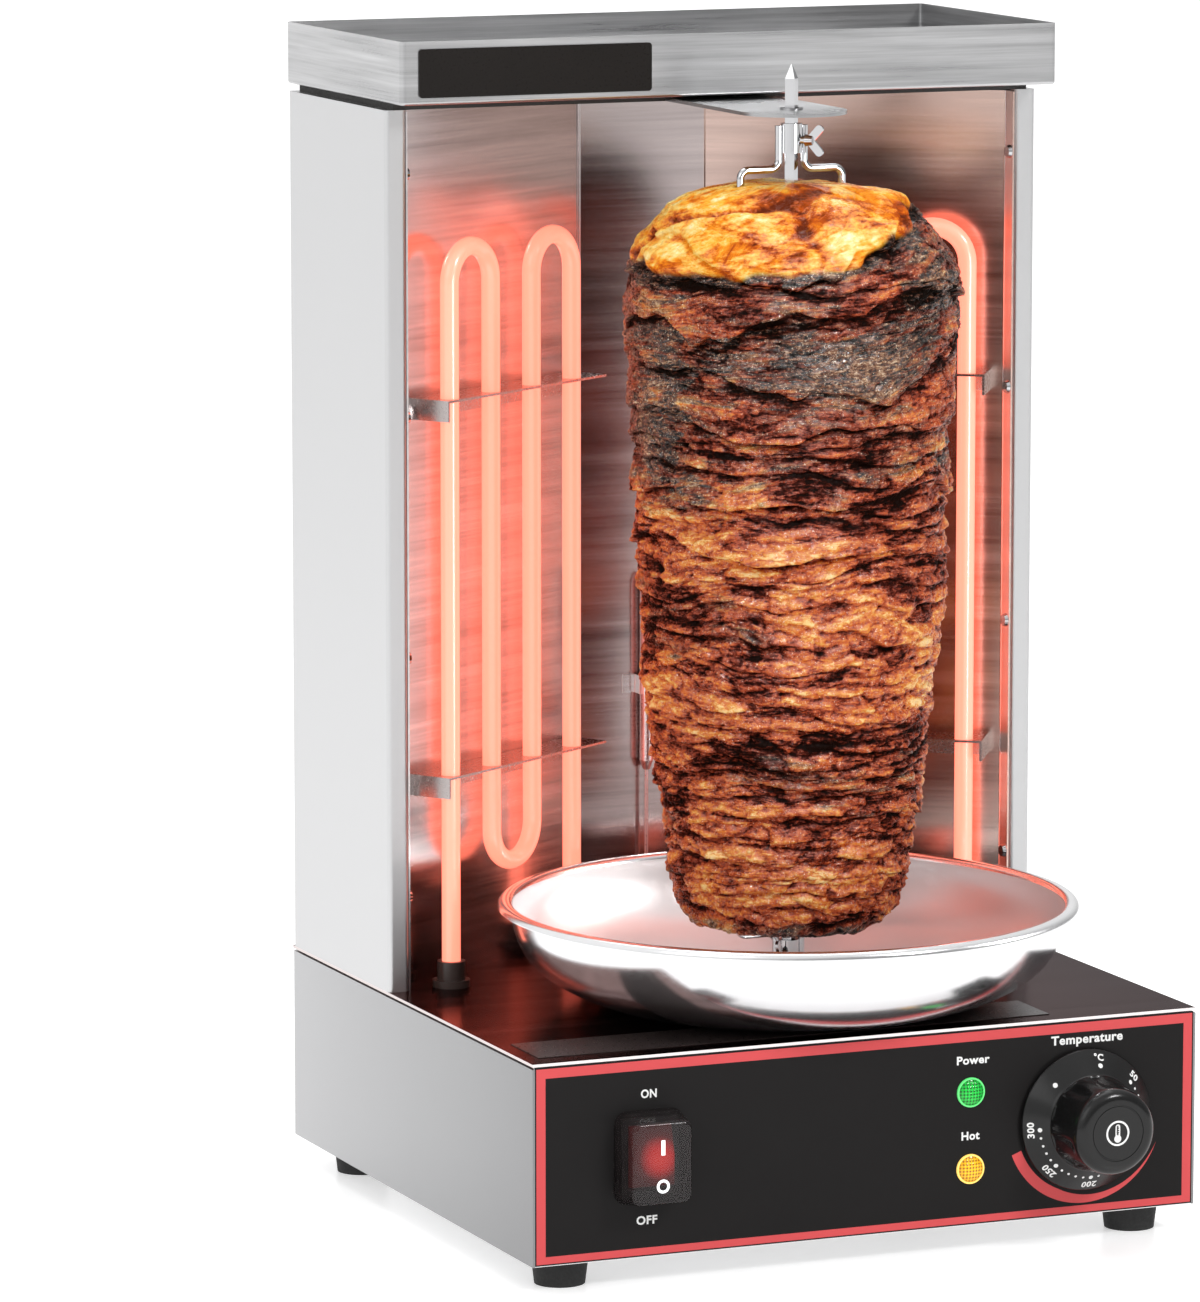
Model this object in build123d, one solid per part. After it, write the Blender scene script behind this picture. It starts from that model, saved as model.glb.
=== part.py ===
from build123d import *
import math
import os

# Vertical rotisserie with a doner spit, a drip bowl and two electric heaters.
# Millimetres, +Z up, +Y to the back, the floor at Z 0 and the spit axis at X 0.

# Base box
base_width = 300.0
base_depth = 275.0
base_height = 84.0
foot_height = 12.0
sheet = 1.0
lid_thickness = 1.2
seam = 1.0
seam_inset = 2.5
flange_width = 10.0
bend_radius = 1.5

# Front panel
panel_thickness = 1.2
overlay_thickness = 0.4
panel_top_gap = 0.4

# Cooking bay
wall_height = 373.0
wall_setback = 159.3
wall_flange = 9.4
reflector_sheet = 0.8
reflector_back_gap = 35.5
reflector_strip = 8.4
centre_panel_width = 60.0
centre_panel_inset = 1.0

# Hood
hood_width = 301.0
hood_setback = 139.9
hood_height = 26.3
hood_corner = 2.5
spacer_thickness = 3.3
spacer_inset = 4.0
badge_width = 104.4
badge_height = 20.2
badge_thickness = 0.8
badge_left_gap = 7.8
badge_corner = 1.5

# Spit, forks and wing screws
spit_setback = 82.2
spit_width = 4.2
spit_point = 6.0
spit_tip_width = 0.35
spit_projection = 20.4
hub_radius = 4.5
hub_length = 12.1
hub_clearance = 0.15
rod_radius = 1.6
rod_weld = 0.4
rod_inner_bend = 4.0
rod_outer_bend = 3.5
prong_reach = 23.0
prong_length = 28.0
prong_point = 6.0
prong_clearance = 0.3
prong_mouth = 1.0
top_run_drop = 6.8
bottom_hub_gap = 4.7
bottom_run_rise = 3.0
screw_radius = 1.5
screw_boss_start = 1.9
screw_boss_length = 3.2
screw_boss_radius = 2.5
screw_from_hub_end = 5.2
top_screw_turn = -45.0
bottom_screw_turn = -135.0
wing_thickness = 1.3
wing_width = 3.4
wing_span = 4.6
wing_root = 0.6
wing_lean = 42.0
screw_boss_taper = 0.5

# Spit guide plate
guide_half_width = 23.0
guide_thickness = 1.5
guide_gap = 4.1
guide_tail = 42.0
guide_bush_flange = 4.8
guide_bush_rise = 0.8
guide_bush_lip = 1.0
guide_bore_clearance = 0.3
guide_screw_spacing = 26.0

# Meat, as the radius at each height above its underside
meat_clearance = 0.3
meat_slices = 9
meat_groove = 2.2
meat_slice_round = 0.2
meat_disc = 26.0
meat_outline = [(0.0, 27.0), (0.03, 44.0), (0.07, 51.0), (0.2, 57.0), (0.4, 64.0), (0.6, 66.5),
                (0.75, 68.0), (0.85, 72.5), (0.92, 68.5), (0.96, 63.0), (0.98, 54.0), (1.0, 26.0)]
meat_top_gap = 4.5

# Drip bowl
bowl_radius = 122.3
bowl_height = 43.4
bowl_sheet = 0.8
bowl_floor_radius = 60.0
bowl_knee_inset = 21.3
bowl_knee_height = 12.0
bowl_rim_width = 6.3
bowl_collar_radius = 13.0
bowl_collar_height = 6.0
bowl_rim_roll = 2.55

# Drive
socket_radius = 9.0
socket_rise = 9.0
socket_gap = 0.3
socket_chamfer = 1.5
shaft_radius = 3.5
running_clearance = 0.05
bush_flange_radius = 10.0
bush_flange_thickness = 1.0
bush_barrel_radius = 5.5
bush_barrel_length = 8.0
gearbox_radius = 27.0
gearbox_height = 24.0
motor_radius = 20.0
motor_height = 20.0
motor_depth = 15.0
bracket_sheet = 1.5
bracket_half_width = 36.0
bracket_depth = 44.0
bracket_foot = 12.0
bracket_slope = 6.0
bracket_clearance = 1.0
seat_gap = 0.1

# Heaters
tube_radius = 4.0
tube_pitch = 30.25
tube_standoff = 14.6
tube_first = 14.5
tube_top_gap = 55.0
tube_bottom_gap = 43.8
tube_tail = 22.0
tube_fit = 0.15
terminal_radius = 1.5
terminal_length = 10.0
ferrule_flange_radius = 8.0
ferrule_flange_height = 3.0
ferrule_collar_radius = 6.0
ferrule_collar_height = 8.0
ferrule_thread_radius = 4.9
ferrule_thread_length = 10.0
ferrule_fit = 0.05
hole_clearance = 0.1
clamp_rises = (90.0, 250.0)
clamp_reach = 20.0
clamp_start = 6.0
clamp_length = 118.0
clamp_tab = 8.0
clamp_sheet = 1.0

# Thermostat, knob and capillary
knob_inset = 51.5
knob_rise = 40.8
skirt_radius = 30.0
skirt_edge = 1.6
skirt_thickness = 4.0
knob_gap = 1.0
grip_radius = 20.0
grip_front_radius = 16.0
grip_foot = 2.0
knob_reach = 31.0
knob_crown = 3.0
grip_flutes = 10
flute_radius = 5.0
flute_depth = 1.6
knob_shaft_radius = 3.0
knob_hole_radius = 6.0
knob_shaft_inset = 12.0
knob_shaft_socket = 20.0
thermostat_width = 36.0
thermostat_height = 44.0
thermostat_depth = 28.0
thermostat_corner = 4.0
bulb_radius = 3.0
bulb_length = 86.0
bulb_rise = 74.4
bulb_nose = 4.0
bulb_standoff = 2.0
clip_rise = 112.0
clip_width = 8.0
clip_sheet = 0.6
clip_foot = 6.0
capillary_radius = 0.8
capillary_bend = 14.0
capillary_rise = 32.0

# Lamps and switch
lamp_from_knob = 52.6
lamp_rises = (56.4, 24.0)
lamp_radius = 6.3
lamp_rim = 0.8
lamp_rise = 1.8
lamp_steps = 4
lamp_barrel_radius = 5.0
lamp_barrel_length = 22.0
lamp_tab_length = 7.0
lamp_tab_width = 4.0
lamp_tab_thickness = 0.8
lamp_tab_spacing = 4.0
switch_inset = 51.0
switch_rise = 42.0
switch_cut_width = 22.0
switch_cut_height = 30.0
switch_fit = 0.1
switch_depth = 24.0
switch_wall = 1.3
switch_frame_lip = 1.6
switch_frame_rise = 1.4
rocker_clearance = 0.3
rocker_half_height = 12.5
rocker_crown = 8.0
rocker_end = 6.2
rocker_heel = 2.0
rocker_pivot_depth = 3.0
rocker_pin_radius = 1.5
rocker_pin_length = 0.8
rocker_angle = 8.0
rocker_well_depth = 11.0
boot_width = 31.0
boot_height = 39.0
boot_rise = 15.0
boot_taper = 10.0
boot_wall = 1.2
boot_corner = 6.0
boot_edge = 2.0

# Feet, vents, gland and small parts
foot_radius = 12.0
foot_taper = 1.5
foot_inset_side = 20.0
foot_inset_front = 20.0
foot_inset_back = 30.0
foot_counterbore = 4.6
foot_counterbore_depth = 6.0
foot_screw_radius = 2.0
foot_screw_head = 3.9
foot_screw_head_height = 2.4
foot_screw_rise = 4.0
foot_screw_end = 1.0
tray_flange = 10.0
vent_count = 7
vent_length = 60.0
vent_width = 3.0
vent_pitch = 9.0
vent_top_gap = 36.0
base_vent_count = 5
gland_inset = 50.0
gland_rise = 36.0
gland_reach = 14.0
gland_radius = 9.0
gland_bore = 3.6
gland_nose = 4.0
gland_nose_radius = 6.0
gland_hex = 11.0
gland_hex_thickness = 4.0
gland_thread_radius = 7.5
gland_thread_length = 8.0
block_width = 44.0
block_depth = 20.0
block_height = 18.0
block_inset = 90.0
block_slots = 5
block_slot_depth = 5.0
label_width = 230.0
label_depth = 30.0
label_thickness = 0.3
label_side_gap = 7.0
label_strip = 2.7
label_bowl_gap = 9.0
wall_screw_radius = 1.9
wall_screw_head = 3.0
wall_screw_head_height = 1.4
wall_screw_crown = 2.4
wall_screw_count = 4
wall_screw_foot = 40.0
wall_screw_head_gap = 27.0
guide_screw_head = 4.0

# How far a cutter runs past the face that it opens, and its length through a sheet
over_cut = 1.0
through_cut = 20.0

# Places worked out from the dimensions
front_y = -(spit_setback - bowl_radius + base_depth + gland_reach) / 2
back_y = front_y + base_depth
spit_y = front_y + spit_setback
side_x = base_width / 2
top_z = foot_height + base_height
lid_z = top_z - lid_thickness
wall_front_y = front_y + wall_setback
wall_top_z = top_z + wall_height
hood_front_y = front_y + hood_setback
hood_z = wall_top_z + spacer_thickness
hood_top_z = hood_z + hood_height
return_x = side_x - wall_flange
reflector_x = return_x - reflector_sheet / 2
corner_y = wall_front_y + reflector_strip
seam_x = centre_panel_width / 2
seam_y = back_y - reflector_back_gap
reflector_turn = math.atan2(seam_y - corner_y, reflector_x - seam_x)
panel_back_y = front_y + overlay_thickness + panel_thickness
panel_top_z = lid_z - panel_top_gap
guide_z = wall_top_z
hub_top_z = guide_z - guide_gap
top_hub_z = hub_top_z - hub_length
spit_tip_z = guide_z + spit_projection
socket_top_z = top_z + socket_rise
lift_travel = guide_gap - hub_clearance * 2
pocket_depth = lift_travel - socket_gap
spit_foot_z = socket_top_z - pocket_depth + seat_gap
top_run_z = top_hub_z - top_run_drop
bottom_hub_z = socket_top_z + bottom_hub_gap
bottom_hub_top_z = bottom_hub_z + hub_length
bottom_run_z = bottom_hub_top_z + bottom_run_rise
meat_bottom_z = bottom_run_z + rod_radius + meat_clearance
meat_top_z = top_run_z - meat_top_gap
meat_height = meat_top_z - meat_bottom_z
rod_x = hub_radius + rod_radius - rod_weld
bush_top_z = top_z + bush_flange_thickness
gearbox_top_z = lid_z - motor_depth
bulb_y = seam_y - reflector_sheet - bulb_standoff - bulb_radius
spit_half_diagonal = spit_width / math.sqrt(2)
bowl_wall_radius = bowl_radius - bowl_rim_width
bowl_knee_radius = bowl_radius - bowl_knee_inset
shaft_top_z = spit_foot_z - seat_gap - socket_gap * 4
tube_top_z = wall_top_z - tube_top_gap
tube_bottom_z = top_z + tube_bottom_gap
clamp_heights = [top_z + rise for rise in clamp_rises]
knob_x = side_x - knob_inset
knob_z = foot_height + knob_rise
lamp_x = knob_x - lamp_from_knob
lamp_heights = [foot_height + rise for rise in lamp_rises]
switch_x = -side_x + switch_inset
switch_z = foot_height + switch_rise
bulb_z = top_z + bulb_rise
clip_z = top_z + clip_rise
capillary_z = foot_height + capillary_rise
gland_x = side_x - gland_inset
gland_z = foot_height + gland_rise
block_x = side_x - block_inset
wall_screw_z = top_z + wall_screw_foot
wall_screw_pitch = (wall_height - wall_screw_foot - wall_screw_head_gap) / (wall_screw_count - 1)


def block(x0, x1, y0, y1, z0, z1):
    """A box between two corners."""
    centre = ((x0 + x1) / 2, (y0 + y1) / 2, (z0 + z1) / 2)
    return Pos(*centre) * Box(x1 - x0, y1 - y0, z1 - z0)


def post(radius, x, y, z0, z1):
    """An upright cylinder between two heights."""
    return Pos(x, y, (z0 + z1) / 2) * Cylinder(radius, z1 - z0)


def turned(points):
    """A closed outline of radius and height, turned about the Z axis."""
    outline = make_face(Polyline(*points, close=True))
    return revolve(Plane.XZ * outline, Axis.Z)


def bent_sheet(points, thickness, radius, z0, z1):
    """A strip of sheet standing on edge along a path seen from above."""
    path = FilletPolyline(*points, radius=radius)
    return Pos(0, 0, z0) * extrude(trace(path, line_width=thickness), amount=z1 - z0)


def facing_front(x, y, z):
    """A frame on the front of the machine whose Z points out of the panel."""
    return Plane(origin=(x, y, z), x_dir=(1, 0, 0), z_dir=(0, -1, 0))


def mirrored(part):
    """The same piece on the other side of the machine."""
    return mirror(part, about=Plane.YZ)


def base_shell():
    """Three sides of the base folded from one sheet, with an inward top flange."""
    height = lid_z - seam - foot_height
    outer = block(-side_x, side_x, front_y, back_y, foot_height, foot_height + height)
    inner = block(-side_x + sheet, side_x - sheet, front_y - over_cut, back_y - sheet,
                  foot_height - over_cut, foot_height + height - sheet)
    mouth = block(-side_x + flange_width, side_x - flange_width, front_y - over_cut,
                  back_y - flange_width, foot_height, foot_height + height + over_cut)
    notch = block(-side_x + sheet, side_x - sheet, front_y - over_cut, panel_back_y,
                  foot_height, foot_height + height + over_cut)
    shell = outer - inner - mouth - notch
    shell = fillet(shell.edges().filter_by(Axis.Z).group_by(Axis.Y)[-1], bend_radius)
    shell -= Pos(gland_x, back_y, gland_z) * Rot(90, 0, 0) * Cylinder(
        gland_thread_radius + hole_clearance, sheet * 4)
    slot = Rot(90, 0, 0) * extrude(SlotOverall(vent_length, vent_width), sheet * 2, both=True)
    for row in range(base_vent_count):
        along = vent_pitch * (row - (base_vent_count - 1) / 2)
        shell -= Pos(-side_x / 2, back_y, gland_z + along) * slot
    return shell


def base_lid():
    """The top plate, on a rim that leaves a dark seam all round."""
    plate = block(-side_x, side_x, front_y, back_y, lid_z, top_z)
    rim = block(-side_x + seam_inset, side_x - seam_inset, panel_back_y + seam_inset,
                back_y - seam_inset, lid_z - seam, lid_z)
    rim -= block(-side_x + flange_width, side_x - flange_width, panel_back_y + flange_width,
                 back_y - flange_width, lid_z - seam - over_cut, lid_z)
    lid = plate + rim
    lid -= post(bush_barrel_radius, 0, spit_y, lid_z - over_cut, top_z + over_cut)
    for side in (-1, 1):
        for place in tail_places():
            lid -= post(ferrule_thread_radius + hole_clearance, side * place.X, place.Y,
                        lid_z - over_cut, top_z + over_cut)
    return lid - post(capillary_radius + hole_clearance, 0, bulb_y, lid_z - over_cut, top_z + over_cut)


def base_tray():
    """The bottom plate, with its edges turned up inside the shell and rows of vents."""
    outer = block(-side_x + sheet, side_x - sheet, panel_back_y, back_y - sheet,
                  foot_height, foot_height + tray_flange)
    inner = block(-side_x + 2 * sheet, side_x - 2 * sheet, panel_back_y + sheet,
                  back_y - 2 * sheet, foot_height + sheet, foot_height + tray_flange + over_cut)
    tray = outer - inner
    slot = extrude(SlotOverall(vent_length, vent_width), sheet * 2, both=True)
    for side in (-1, 1):
        for row in range(vent_count):
            along = vent_pitch * (row - (vent_count - 1) / 2)
            tray -= Pos(side * side_x / 2, (front_y + back_y) / 2 + along, foot_height) * slot
    for x, y in foot_places():
        tray -= post(foot_screw_radius + hole_clearance, x, y, foot_height - over_cut,
                     foot_height + 2 * over_cut)
    return tray


def foot_places():
    """The plan positions of the four feet."""
    rows = (front_y + foot_inset_front, back_y - foot_inset_back)
    return [(side * (side_x - foot_inset_side), y) for side in (-1, 1) for y in rows]


def rubber_feet():
    """Four tapered rubber feet, each with a counterbore for its screw."""
    bore = foot_screw_radius + hole_clearance
    foot = turned([(bore, foot_counterbore_depth), (bore, foot_height), (foot_radius, foot_height),
                   (foot_radius - foot_taper, 0), (foot_counterbore, 0),
                   (foot_counterbore, foot_counterbore_depth)])
    return Part() + [Pos(x, y, 0) * foot for x, y in foot_places()]


def foot_screws():
    """The screws that hold the feet, each with its nut above the tray."""
    seat = foot_counterbore_depth
    nut_z = foot_height + sheet
    screw = post(foot_screw_head, 0, 0, seat - foot_screw_head_height, seat)
    screw += post(foot_screw_radius, 0, 0, seat, nut_z + foot_screw_rise)
    nut = extrude(RegularPolygon(foot_screw_head, 6), foot_screw_rise - foot_screw_end)
    screw += Pos(0, 0, nut_z) * nut
    return Part() + [Pos(x, y, 0) * screw for x, y in foot_places()]


def panel_blank(y0, y1, gap):
    """A plate the size of the front, with openings for the controls."""
    plate = block(-side_x + sheet, side_x - sheet, y0, y1, foot_height + gap, panel_top_z)
    for z in lamp_heights:
        plate -= facing_front(lamp_x, y0, z).location * Cylinder(
            lamp_barrel_radius + hole_clearance, through_cut)
    plate -= facing_front(knob_x, y0, knob_z).location * Cylinder(
        knob_hole_radius, through_cut)
    return plate - facing_front(switch_x, y0, switch_z).location * Box(
        switch_cut_width, switch_cut_height, through_cut)


def control_panel():
    """The steel front of the base."""
    return panel_blank(front_y + overlay_thickness, panel_back_y, 0)


def panel_overlay():
    """The printed film on the front."""
    return panel_blank(front_y, front_y + overlay_thickness, panel_top_gap)


def base_label():
    """The blank dark plate along the lid's front, cut out for the floor of the bowl."""
    x0 = -side_x + label_side_gap
    cut_radius = bowl_floor_radius + label_bowl_gap
    y0 = spit_y - cut_radius - label_strip
    label = block(x0, x0 + label_width, y0, y0 + label_depth, top_z, top_z + label_thickness)
    return label - post(cut_radius, 0, spit_y, top_z - over_cut, top_z + over_cut)


def cable_gland():
    """The gland at the back, with its hexagon, dome and thread."""
    dome = turned([(gland_bore, 0), (gland_bore, gland_reach), (gland_nose_radius, gland_reach),
                   (gland_radius, gland_reach - gland_nose), (gland_radius, 0)])
    hexagon = extrude(RegularPolygon(gland_hex, 6), gland_hex_thickness)
    hexagon -= Cylinder(gland_bore, 2 * gland_reach)
    thread = turned([(gland_bore, -gland_thread_length), (gland_bore, 0),
                     (gland_thread_radius, 0), (gland_thread_radius, -gland_thread_length)])
    return Plane(origin=(gland_x, back_y, gland_z), z_dir=(0, 1, 0)).location * (
        dome + hexagon + thread)


def gland_nut():
    """The lock nut inside the shell."""
    nut = extrude(RegularPolygon(gland_hex, 6), gland_hex_thickness)
    nut -= Cylinder(gland_thread_radius + ferrule_fit, 2 * gland_reach)
    return Plane(origin=(gland_x, back_y - sheet, gland_z), z_dir=(0, -1, 0)).location * nut


def terminal_block():
    """The supply terminals on the tray, with a wire entry for each."""
    y1 = back_y - flange_width * 4
    z0 = foot_height + sheet
    body = block(block_x - block_width / 2, block_x + block_width / 2, y1 - block_depth, y1,
                 z0, z0 + block_height)
    pitch = block_width / block_slots
    for slot in range(block_slots):
        x = block_x + pitch * (slot - (block_slots - 1) / 2)
        body -= block(x - pitch / 4, x + pitch / 4, y1 - block_depth - over_cut,
                      y1 - block_depth + block_slot_depth, z0 + block_height / 3,
                      z0 + block_height / 3 * 2)
    return body


def wall_left():
    """The left wall folded from one sheet, with flanges at the top, foot and back."""
    half = sheet / 2
    front = wall_front_y + half
    path = [(-side_x + flange_width, back_y - sheet - half), (-side_x + half, back_y - sheet - half),
            (-side_x + half, front), (-return_x - half, front), (-return_x - half, corner_y)]
    wall = bent_sheet(path, sheet, bend_radius, top_z, wall_top_z)
    for z in (top_z, wall_top_z - sheet):
        wall += block(-side_x + sheet, -side_x + wall_flange - sheet, front,
                      back_y - 2 * sheet, z, z + sheet)
    return wall - wall_screw_holes(wall_screw_radius + hole_clearance)


def wall_screw_places():
    """Heights of the screws along the front edge of each wall."""
    return [wall_screw_z + wall_screw_pitch * row for row in range(wall_screw_count)]


def wall_screw_holes(radius):
    """Cutters for the screws through the left wall's return and the reflector's strip."""
    y = (wall_front_y + corner_y) / 2
    length = 2 * (wall_flange - 2 * sheet)
    return Part() + [Pos(-return_x, y, z) * Rot(0, 90, 0) * Cylinder(radius, length)
                     for z in wall_screw_places()]


def wall_screws():
    """Four pan head screws down the front edge of each wall."""
    y = (wall_front_y + corner_y) / 2
    start = -return_x + reflector_sheet
    screws = []
    for z in wall_screw_places():
        head = turned([(0, 0), (wall_screw_head, 0), (wall_screw_crown, wall_screw_head_height),
                       (0, wall_screw_head_height)])
        shank = post(wall_screw_radius, 0, 0, -reflector_sheet - 3 * sheet, 0)
        screws.append(Pos(start, y, z) * Rot(0, 90, 0) * (head + shank))
    return Part() + screws + [mirrored(screw) for screw in screws]


def back_panel():
    """The flat panel behind the cooking bay, with vents near its top."""
    panel = block(-side_x + sheet, side_x - sheet, back_y - sheet, back_y, top_z, wall_top_z)
    slot = Rot(90, 0, 0) * extrude(SlotOverall(vent_length, vent_width), sheet * 2, both=True)
    for side in (-1, 1):
        for row in range(vent_count):
            z = wall_top_z - vent_top_gap - vent_pitch * row
            panel -= Pos(side * side_x / 2, back_y, z) * slot
    return panel


def reflector_left():
    """The left reflector, screwed to the wall's return and lapped behind the centre panel."""
    half = reflector_sheet / 2
    path = [(-reflector_x, wall_front_y + sheet), (-reflector_x, corner_y),
            (-seam_x, seam_y + half), (-seam_x + flange_width, seam_y + half)]
    plate = bent_sheet(path, reflector_sheet, bend_radius, top_z, wall_top_z - sheet)
    return plate - wall_screw_holes(wall_screw_radius + hole_clearance)


def centre_reflector():
    """The narrow flat panel between the two reflectors."""
    half = seam_x - centre_panel_inset
    return block(-half, half, seam_y - reflector_sheet, seam_y,
                 top_z, wall_top_z - sheet)


def hood_spacer():
    """The dark insulating board between the bay and the hood, notched for the guide plate."""
    board = block(-side_x + spacer_inset, side_x - spacer_inset, wall_front_y + sheet,
                  back_y - spacer_inset, wall_top_z, hood_z)
    board -= block(-guide_half_width, guide_half_width, wall_front_y, wall_front_y + guide_tail,
                   guide_z - over_cut, guide_z + guide_thickness)
    for x in guide_screw_places():
        board -= post(wall_screw_radius + hole_clearance, x, guide_screw_y(), wall_top_z, hood_z + over_cut)
    return board


def hood_tray():
    """The open tray on top, folded with rounded corners."""
    depth = back_y - hood_front_y
    middle = Pos(0, (back_y + hood_front_y) / 2, hood_z)
    outer = middle * extrude(RectangleRounded(hood_width, depth, hood_corner), hood_height)
    outer = fillet(outer.edges().group_by(Axis.Z)[0], hood_corner / 2)
    inner = middle * Pos(0, 0, sheet) * extrude(
        RectangleRounded(hood_width - 2 * sheet, depth - 2 * sheet, hood_corner - sheet), hood_height)
    tray = outer - inner
    for x in guide_screw_places():
        tray -= post(wall_screw_radius + hole_clearance, x, guide_screw_y(), hood_z - over_cut,
                     hood_z + sheet + over_cut)
    return tray


def hood_badge():
    """The bare plate on the hood's front."""
    x0 = -hood_width / 2 + badge_left_gap
    z0 = hood_z + (hood_height - badge_height) / 2
    plate = block(x0, x0 + badge_width, hood_front_y - badge_thickness, hood_front_y,
                  z0, z0 + badge_height)
    return fillet(plate.edges().filter_by(Axis.Y), badge_corner)


def guide_screw_places():
    """Plan positions, across, of the two screws of the guide plate."""
    return (-guide_screw_spacing / 2, guide_screw_spacing / 2)


def guide_screw_y():
    """Plan position, along, of the two screws of the guide plate."""
    return wall_front_y + guide_tail / 2


def spit_guide():
    """The tongue under the hood that steadies the top of the spit."""
    tail_y = wall_front_y + guide_tail
    tongue = block(-guide_half_width, guide_half_width, spit_y, tail_y,
                   guide_z, guide_z + guide_thickness)
    tongue += post(guide_half_width, 0, spit_y, guide_z, guide_z + guide_thickness)
    tongue -= post(guide_bush_flange - guide_bush_lip, 0, spit_y, guide_z - over_cut,
                   guide_z + guide_thickness + over_cut)
    for x in guide_screw_places():
        tongue -= post(wall_screw_radius + hole_clearance, x, guide_screw_y(), guide_z - over_cut,
                       guide_z + guide_thickness + over_cut)
    return tongue


def guide_bush():
    """The flanged ring that lines the hole in the guide plate."""
    bore = spit_half_diagonal + guide_bore_clearance
    top = guide_z + guide_thickness
    ring = turned([(bore, guide_z), (bore, top + guide_bush_rise),
                   (guide_bush_flange, top + guide_bush_rise), (guide_bush_flange, top),
                   (guide_bush_flange - guide_bush_lip, top),
                   (guide_bush_flange - guide_bush_lip, guide_z)])
    return Pos(0, spit_y, 0) * ring


def guide_screws():
    """Two screws from below that hold the guide plate to the hood."""
    screws = []
    for x in guide_screw_places():
        screw = post(guide_screw_head, x, guide_screw_y(), guide_z - wall_screw_head_height, guide_z)
        screw += post(wall_screw_radius, x, guide_screw_y(), guide_z, hood_z + sheet * 2)
        screws.append(screw)
    return Part() + screws


def reflector_frame():
    """A frame on the left reflector: X along it from its corner, Y behind it, Z up."""
    along = (math.cos(reflector_turn), math.sin(reflector_turn), 0)
    return Plane(origin=(-reflector_x, corner_y, 0), x_dir=along, z_dir=(0, 0, 1))


def tube_stations():
    """Distances along the reflector of a heater's four upright runs."""
    return [tube_first + tube_pitch * run for run in range(4)]


def tail_places():
    """Plan positions of the right heater's two tails, where it enters the base."""
    frame = reflector_frame()
    stations = tube_stations()
    places = [frame.from_local_coords(Vector(s, -tube_standoff, 0)) for s in (stations[0], stations[-1])]
    return [Vector(-place.X, place.Y, 0) for place in places]


def heater_left():
    """One heater: a single tube bent into four upright runs."""
    frame = reflector_frame()
    bend = tube_pitch / 2
    high = tube_top_z - tube_radius
    low = tube_bottom_z + tube_radius
    foot = lid_z - tube_tail
    s0, s1, s2, s3 = tube_stations()
    y = -tube_standoff
    corners = [(s0, y, foot), (s0, y, high), (s1, y, high), (s1, y, low), (s2, y, low),
               (s2, y, high), (s3, y, high), (s3, y, foot)]
    path = FilletPolyline(*corners, radius=bend * 0.999)
    start = Plane(origin=(s0, y, foot), z_dir=(0, 0, 1))
    return frame.location * sweep(start * Circle(tube_radius), path=path)


def heater_terminals():
    """The threaded stud at each heater tail."""
    z1 = lid_z - tube_tail
    studs = []
    for side in (-1, 1):
        for place in tail_places():
            studs.append(post(terminal_radius, side * place.X, place.Y, z1 - terminal_length, z1))
    return Part() + studs


def heater_ferrules():
    """The dark ferrule where each heater tail goes through the lid."""
    bore = tube_radius + ferrule_fit
    flange_top = top_z + ferrule_flange_height
    collar_top = flange_top + ferrule_collar_height
    ferrule = turned([(bore, lid_z - ferrule_thread_length), (bore, collar_top),
                      (ferrule_collar_radius, collar_top), (ferrule_collar_radius, flange_top),
                      (ferrule_flange_radius, flange_top), (ferrule_flange_radius, top_z),
                      (ferrule_thread_radius, top_z),
                      (ferrule_thread_radius, lid_z - ferrule_thread_length)])
    places = [(side * place.X, place.Y) for side in (-1, 1) for place in tail_places()]
    return Part() + [Pos(x, y, 0) * ferrule for x, y in places]


def clamp_left(height):
    """A punched strip that steadies the four runs of the left heater."""
    frame = reflector_frame()
    face = -reflector_sheet / 2
    end = clamp_start + clamp_length
    strip = block(clamp_start, end, -clamp_reach, face, height, height + clamp_sheet)
    strip += block(clamp_start, end, face - clamp_sheet, face, height - clamp_tab, height)
    strip += block(clamp_start, clamp_start + clamp_sheet, -clamp_reach, face,
                   height - clamp_tab, height)
    for s in tube_stations():
        strip -= Pos(s, -tube_standoff, height) * Cylinder(tube_radius + tube_fit, through_cut)
    return frame.location * strip


def fork(inner_z, run_z, outer_z):
    """A spit fork: a hub bored for the bar, with two bent prongs welded to its sides."""
    way = 1 if outer_z > inner_z else -1
    middle = (inner_z + outer_z) / 2
    hub = Pos(0, 0, middle) * Cylinder(hub_radius, abs(outer_z - inner_z))
    tip_z = run_z - way * prong_length
    corners = [(rod_x, 0, outer_z - way * rod_weld * 2), (rod_x, 0, run_z),
               (prong_reach, 0, run_z), (prong_reach, 0, tip_z + way * prong_point)]
    path = FilletPolyline(*corners, radius=[rod_inner_bend, rod_outer_bend])
    start = Plane(origin=corners[0], z_dir=(0, 0, -way))
    rod = sweep(start * Circle(rod_radius), path=path)
    point = Cone(rod_radius, rod_radius / 4, prong_point)
    point = Pos(prong_reach, 0, tip_z + way * prong_point / 2) * Rot(90 + 90 * way, 0, 0) * point
    part = hub + rod + point + mirrored(rod) + mirrored(point)
    bore = spit_width + 2 * hub_clearance
    part -= Pos(0, 0, middle) * Rot(0, 0, 45) * Box(bore, bore, hub_length * 3)
    return part


def top_fork():
    """The fork that holds the meat down."""
    part = fork(top_hub_z, top_run_z, hub_top_z)
    part -= screw_cutter(top_screw_turn, top_screw_z())
    return Pos(0, spit_y, 0) * part


def bottom_fork():
    """The fork that carries the meat."""
    part = fork(bottom_hub_top_z, bottom_run_z, bottom_hub_z)
    part -= screw_cutter(bottom_screw_turn, bottom_screw_z())
    return Pos(0, spit_y, 0) * part


def top_screw_z():
    """Height of the upper wing screw."""
    return top_hub_z + screw_from_hub_end


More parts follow.
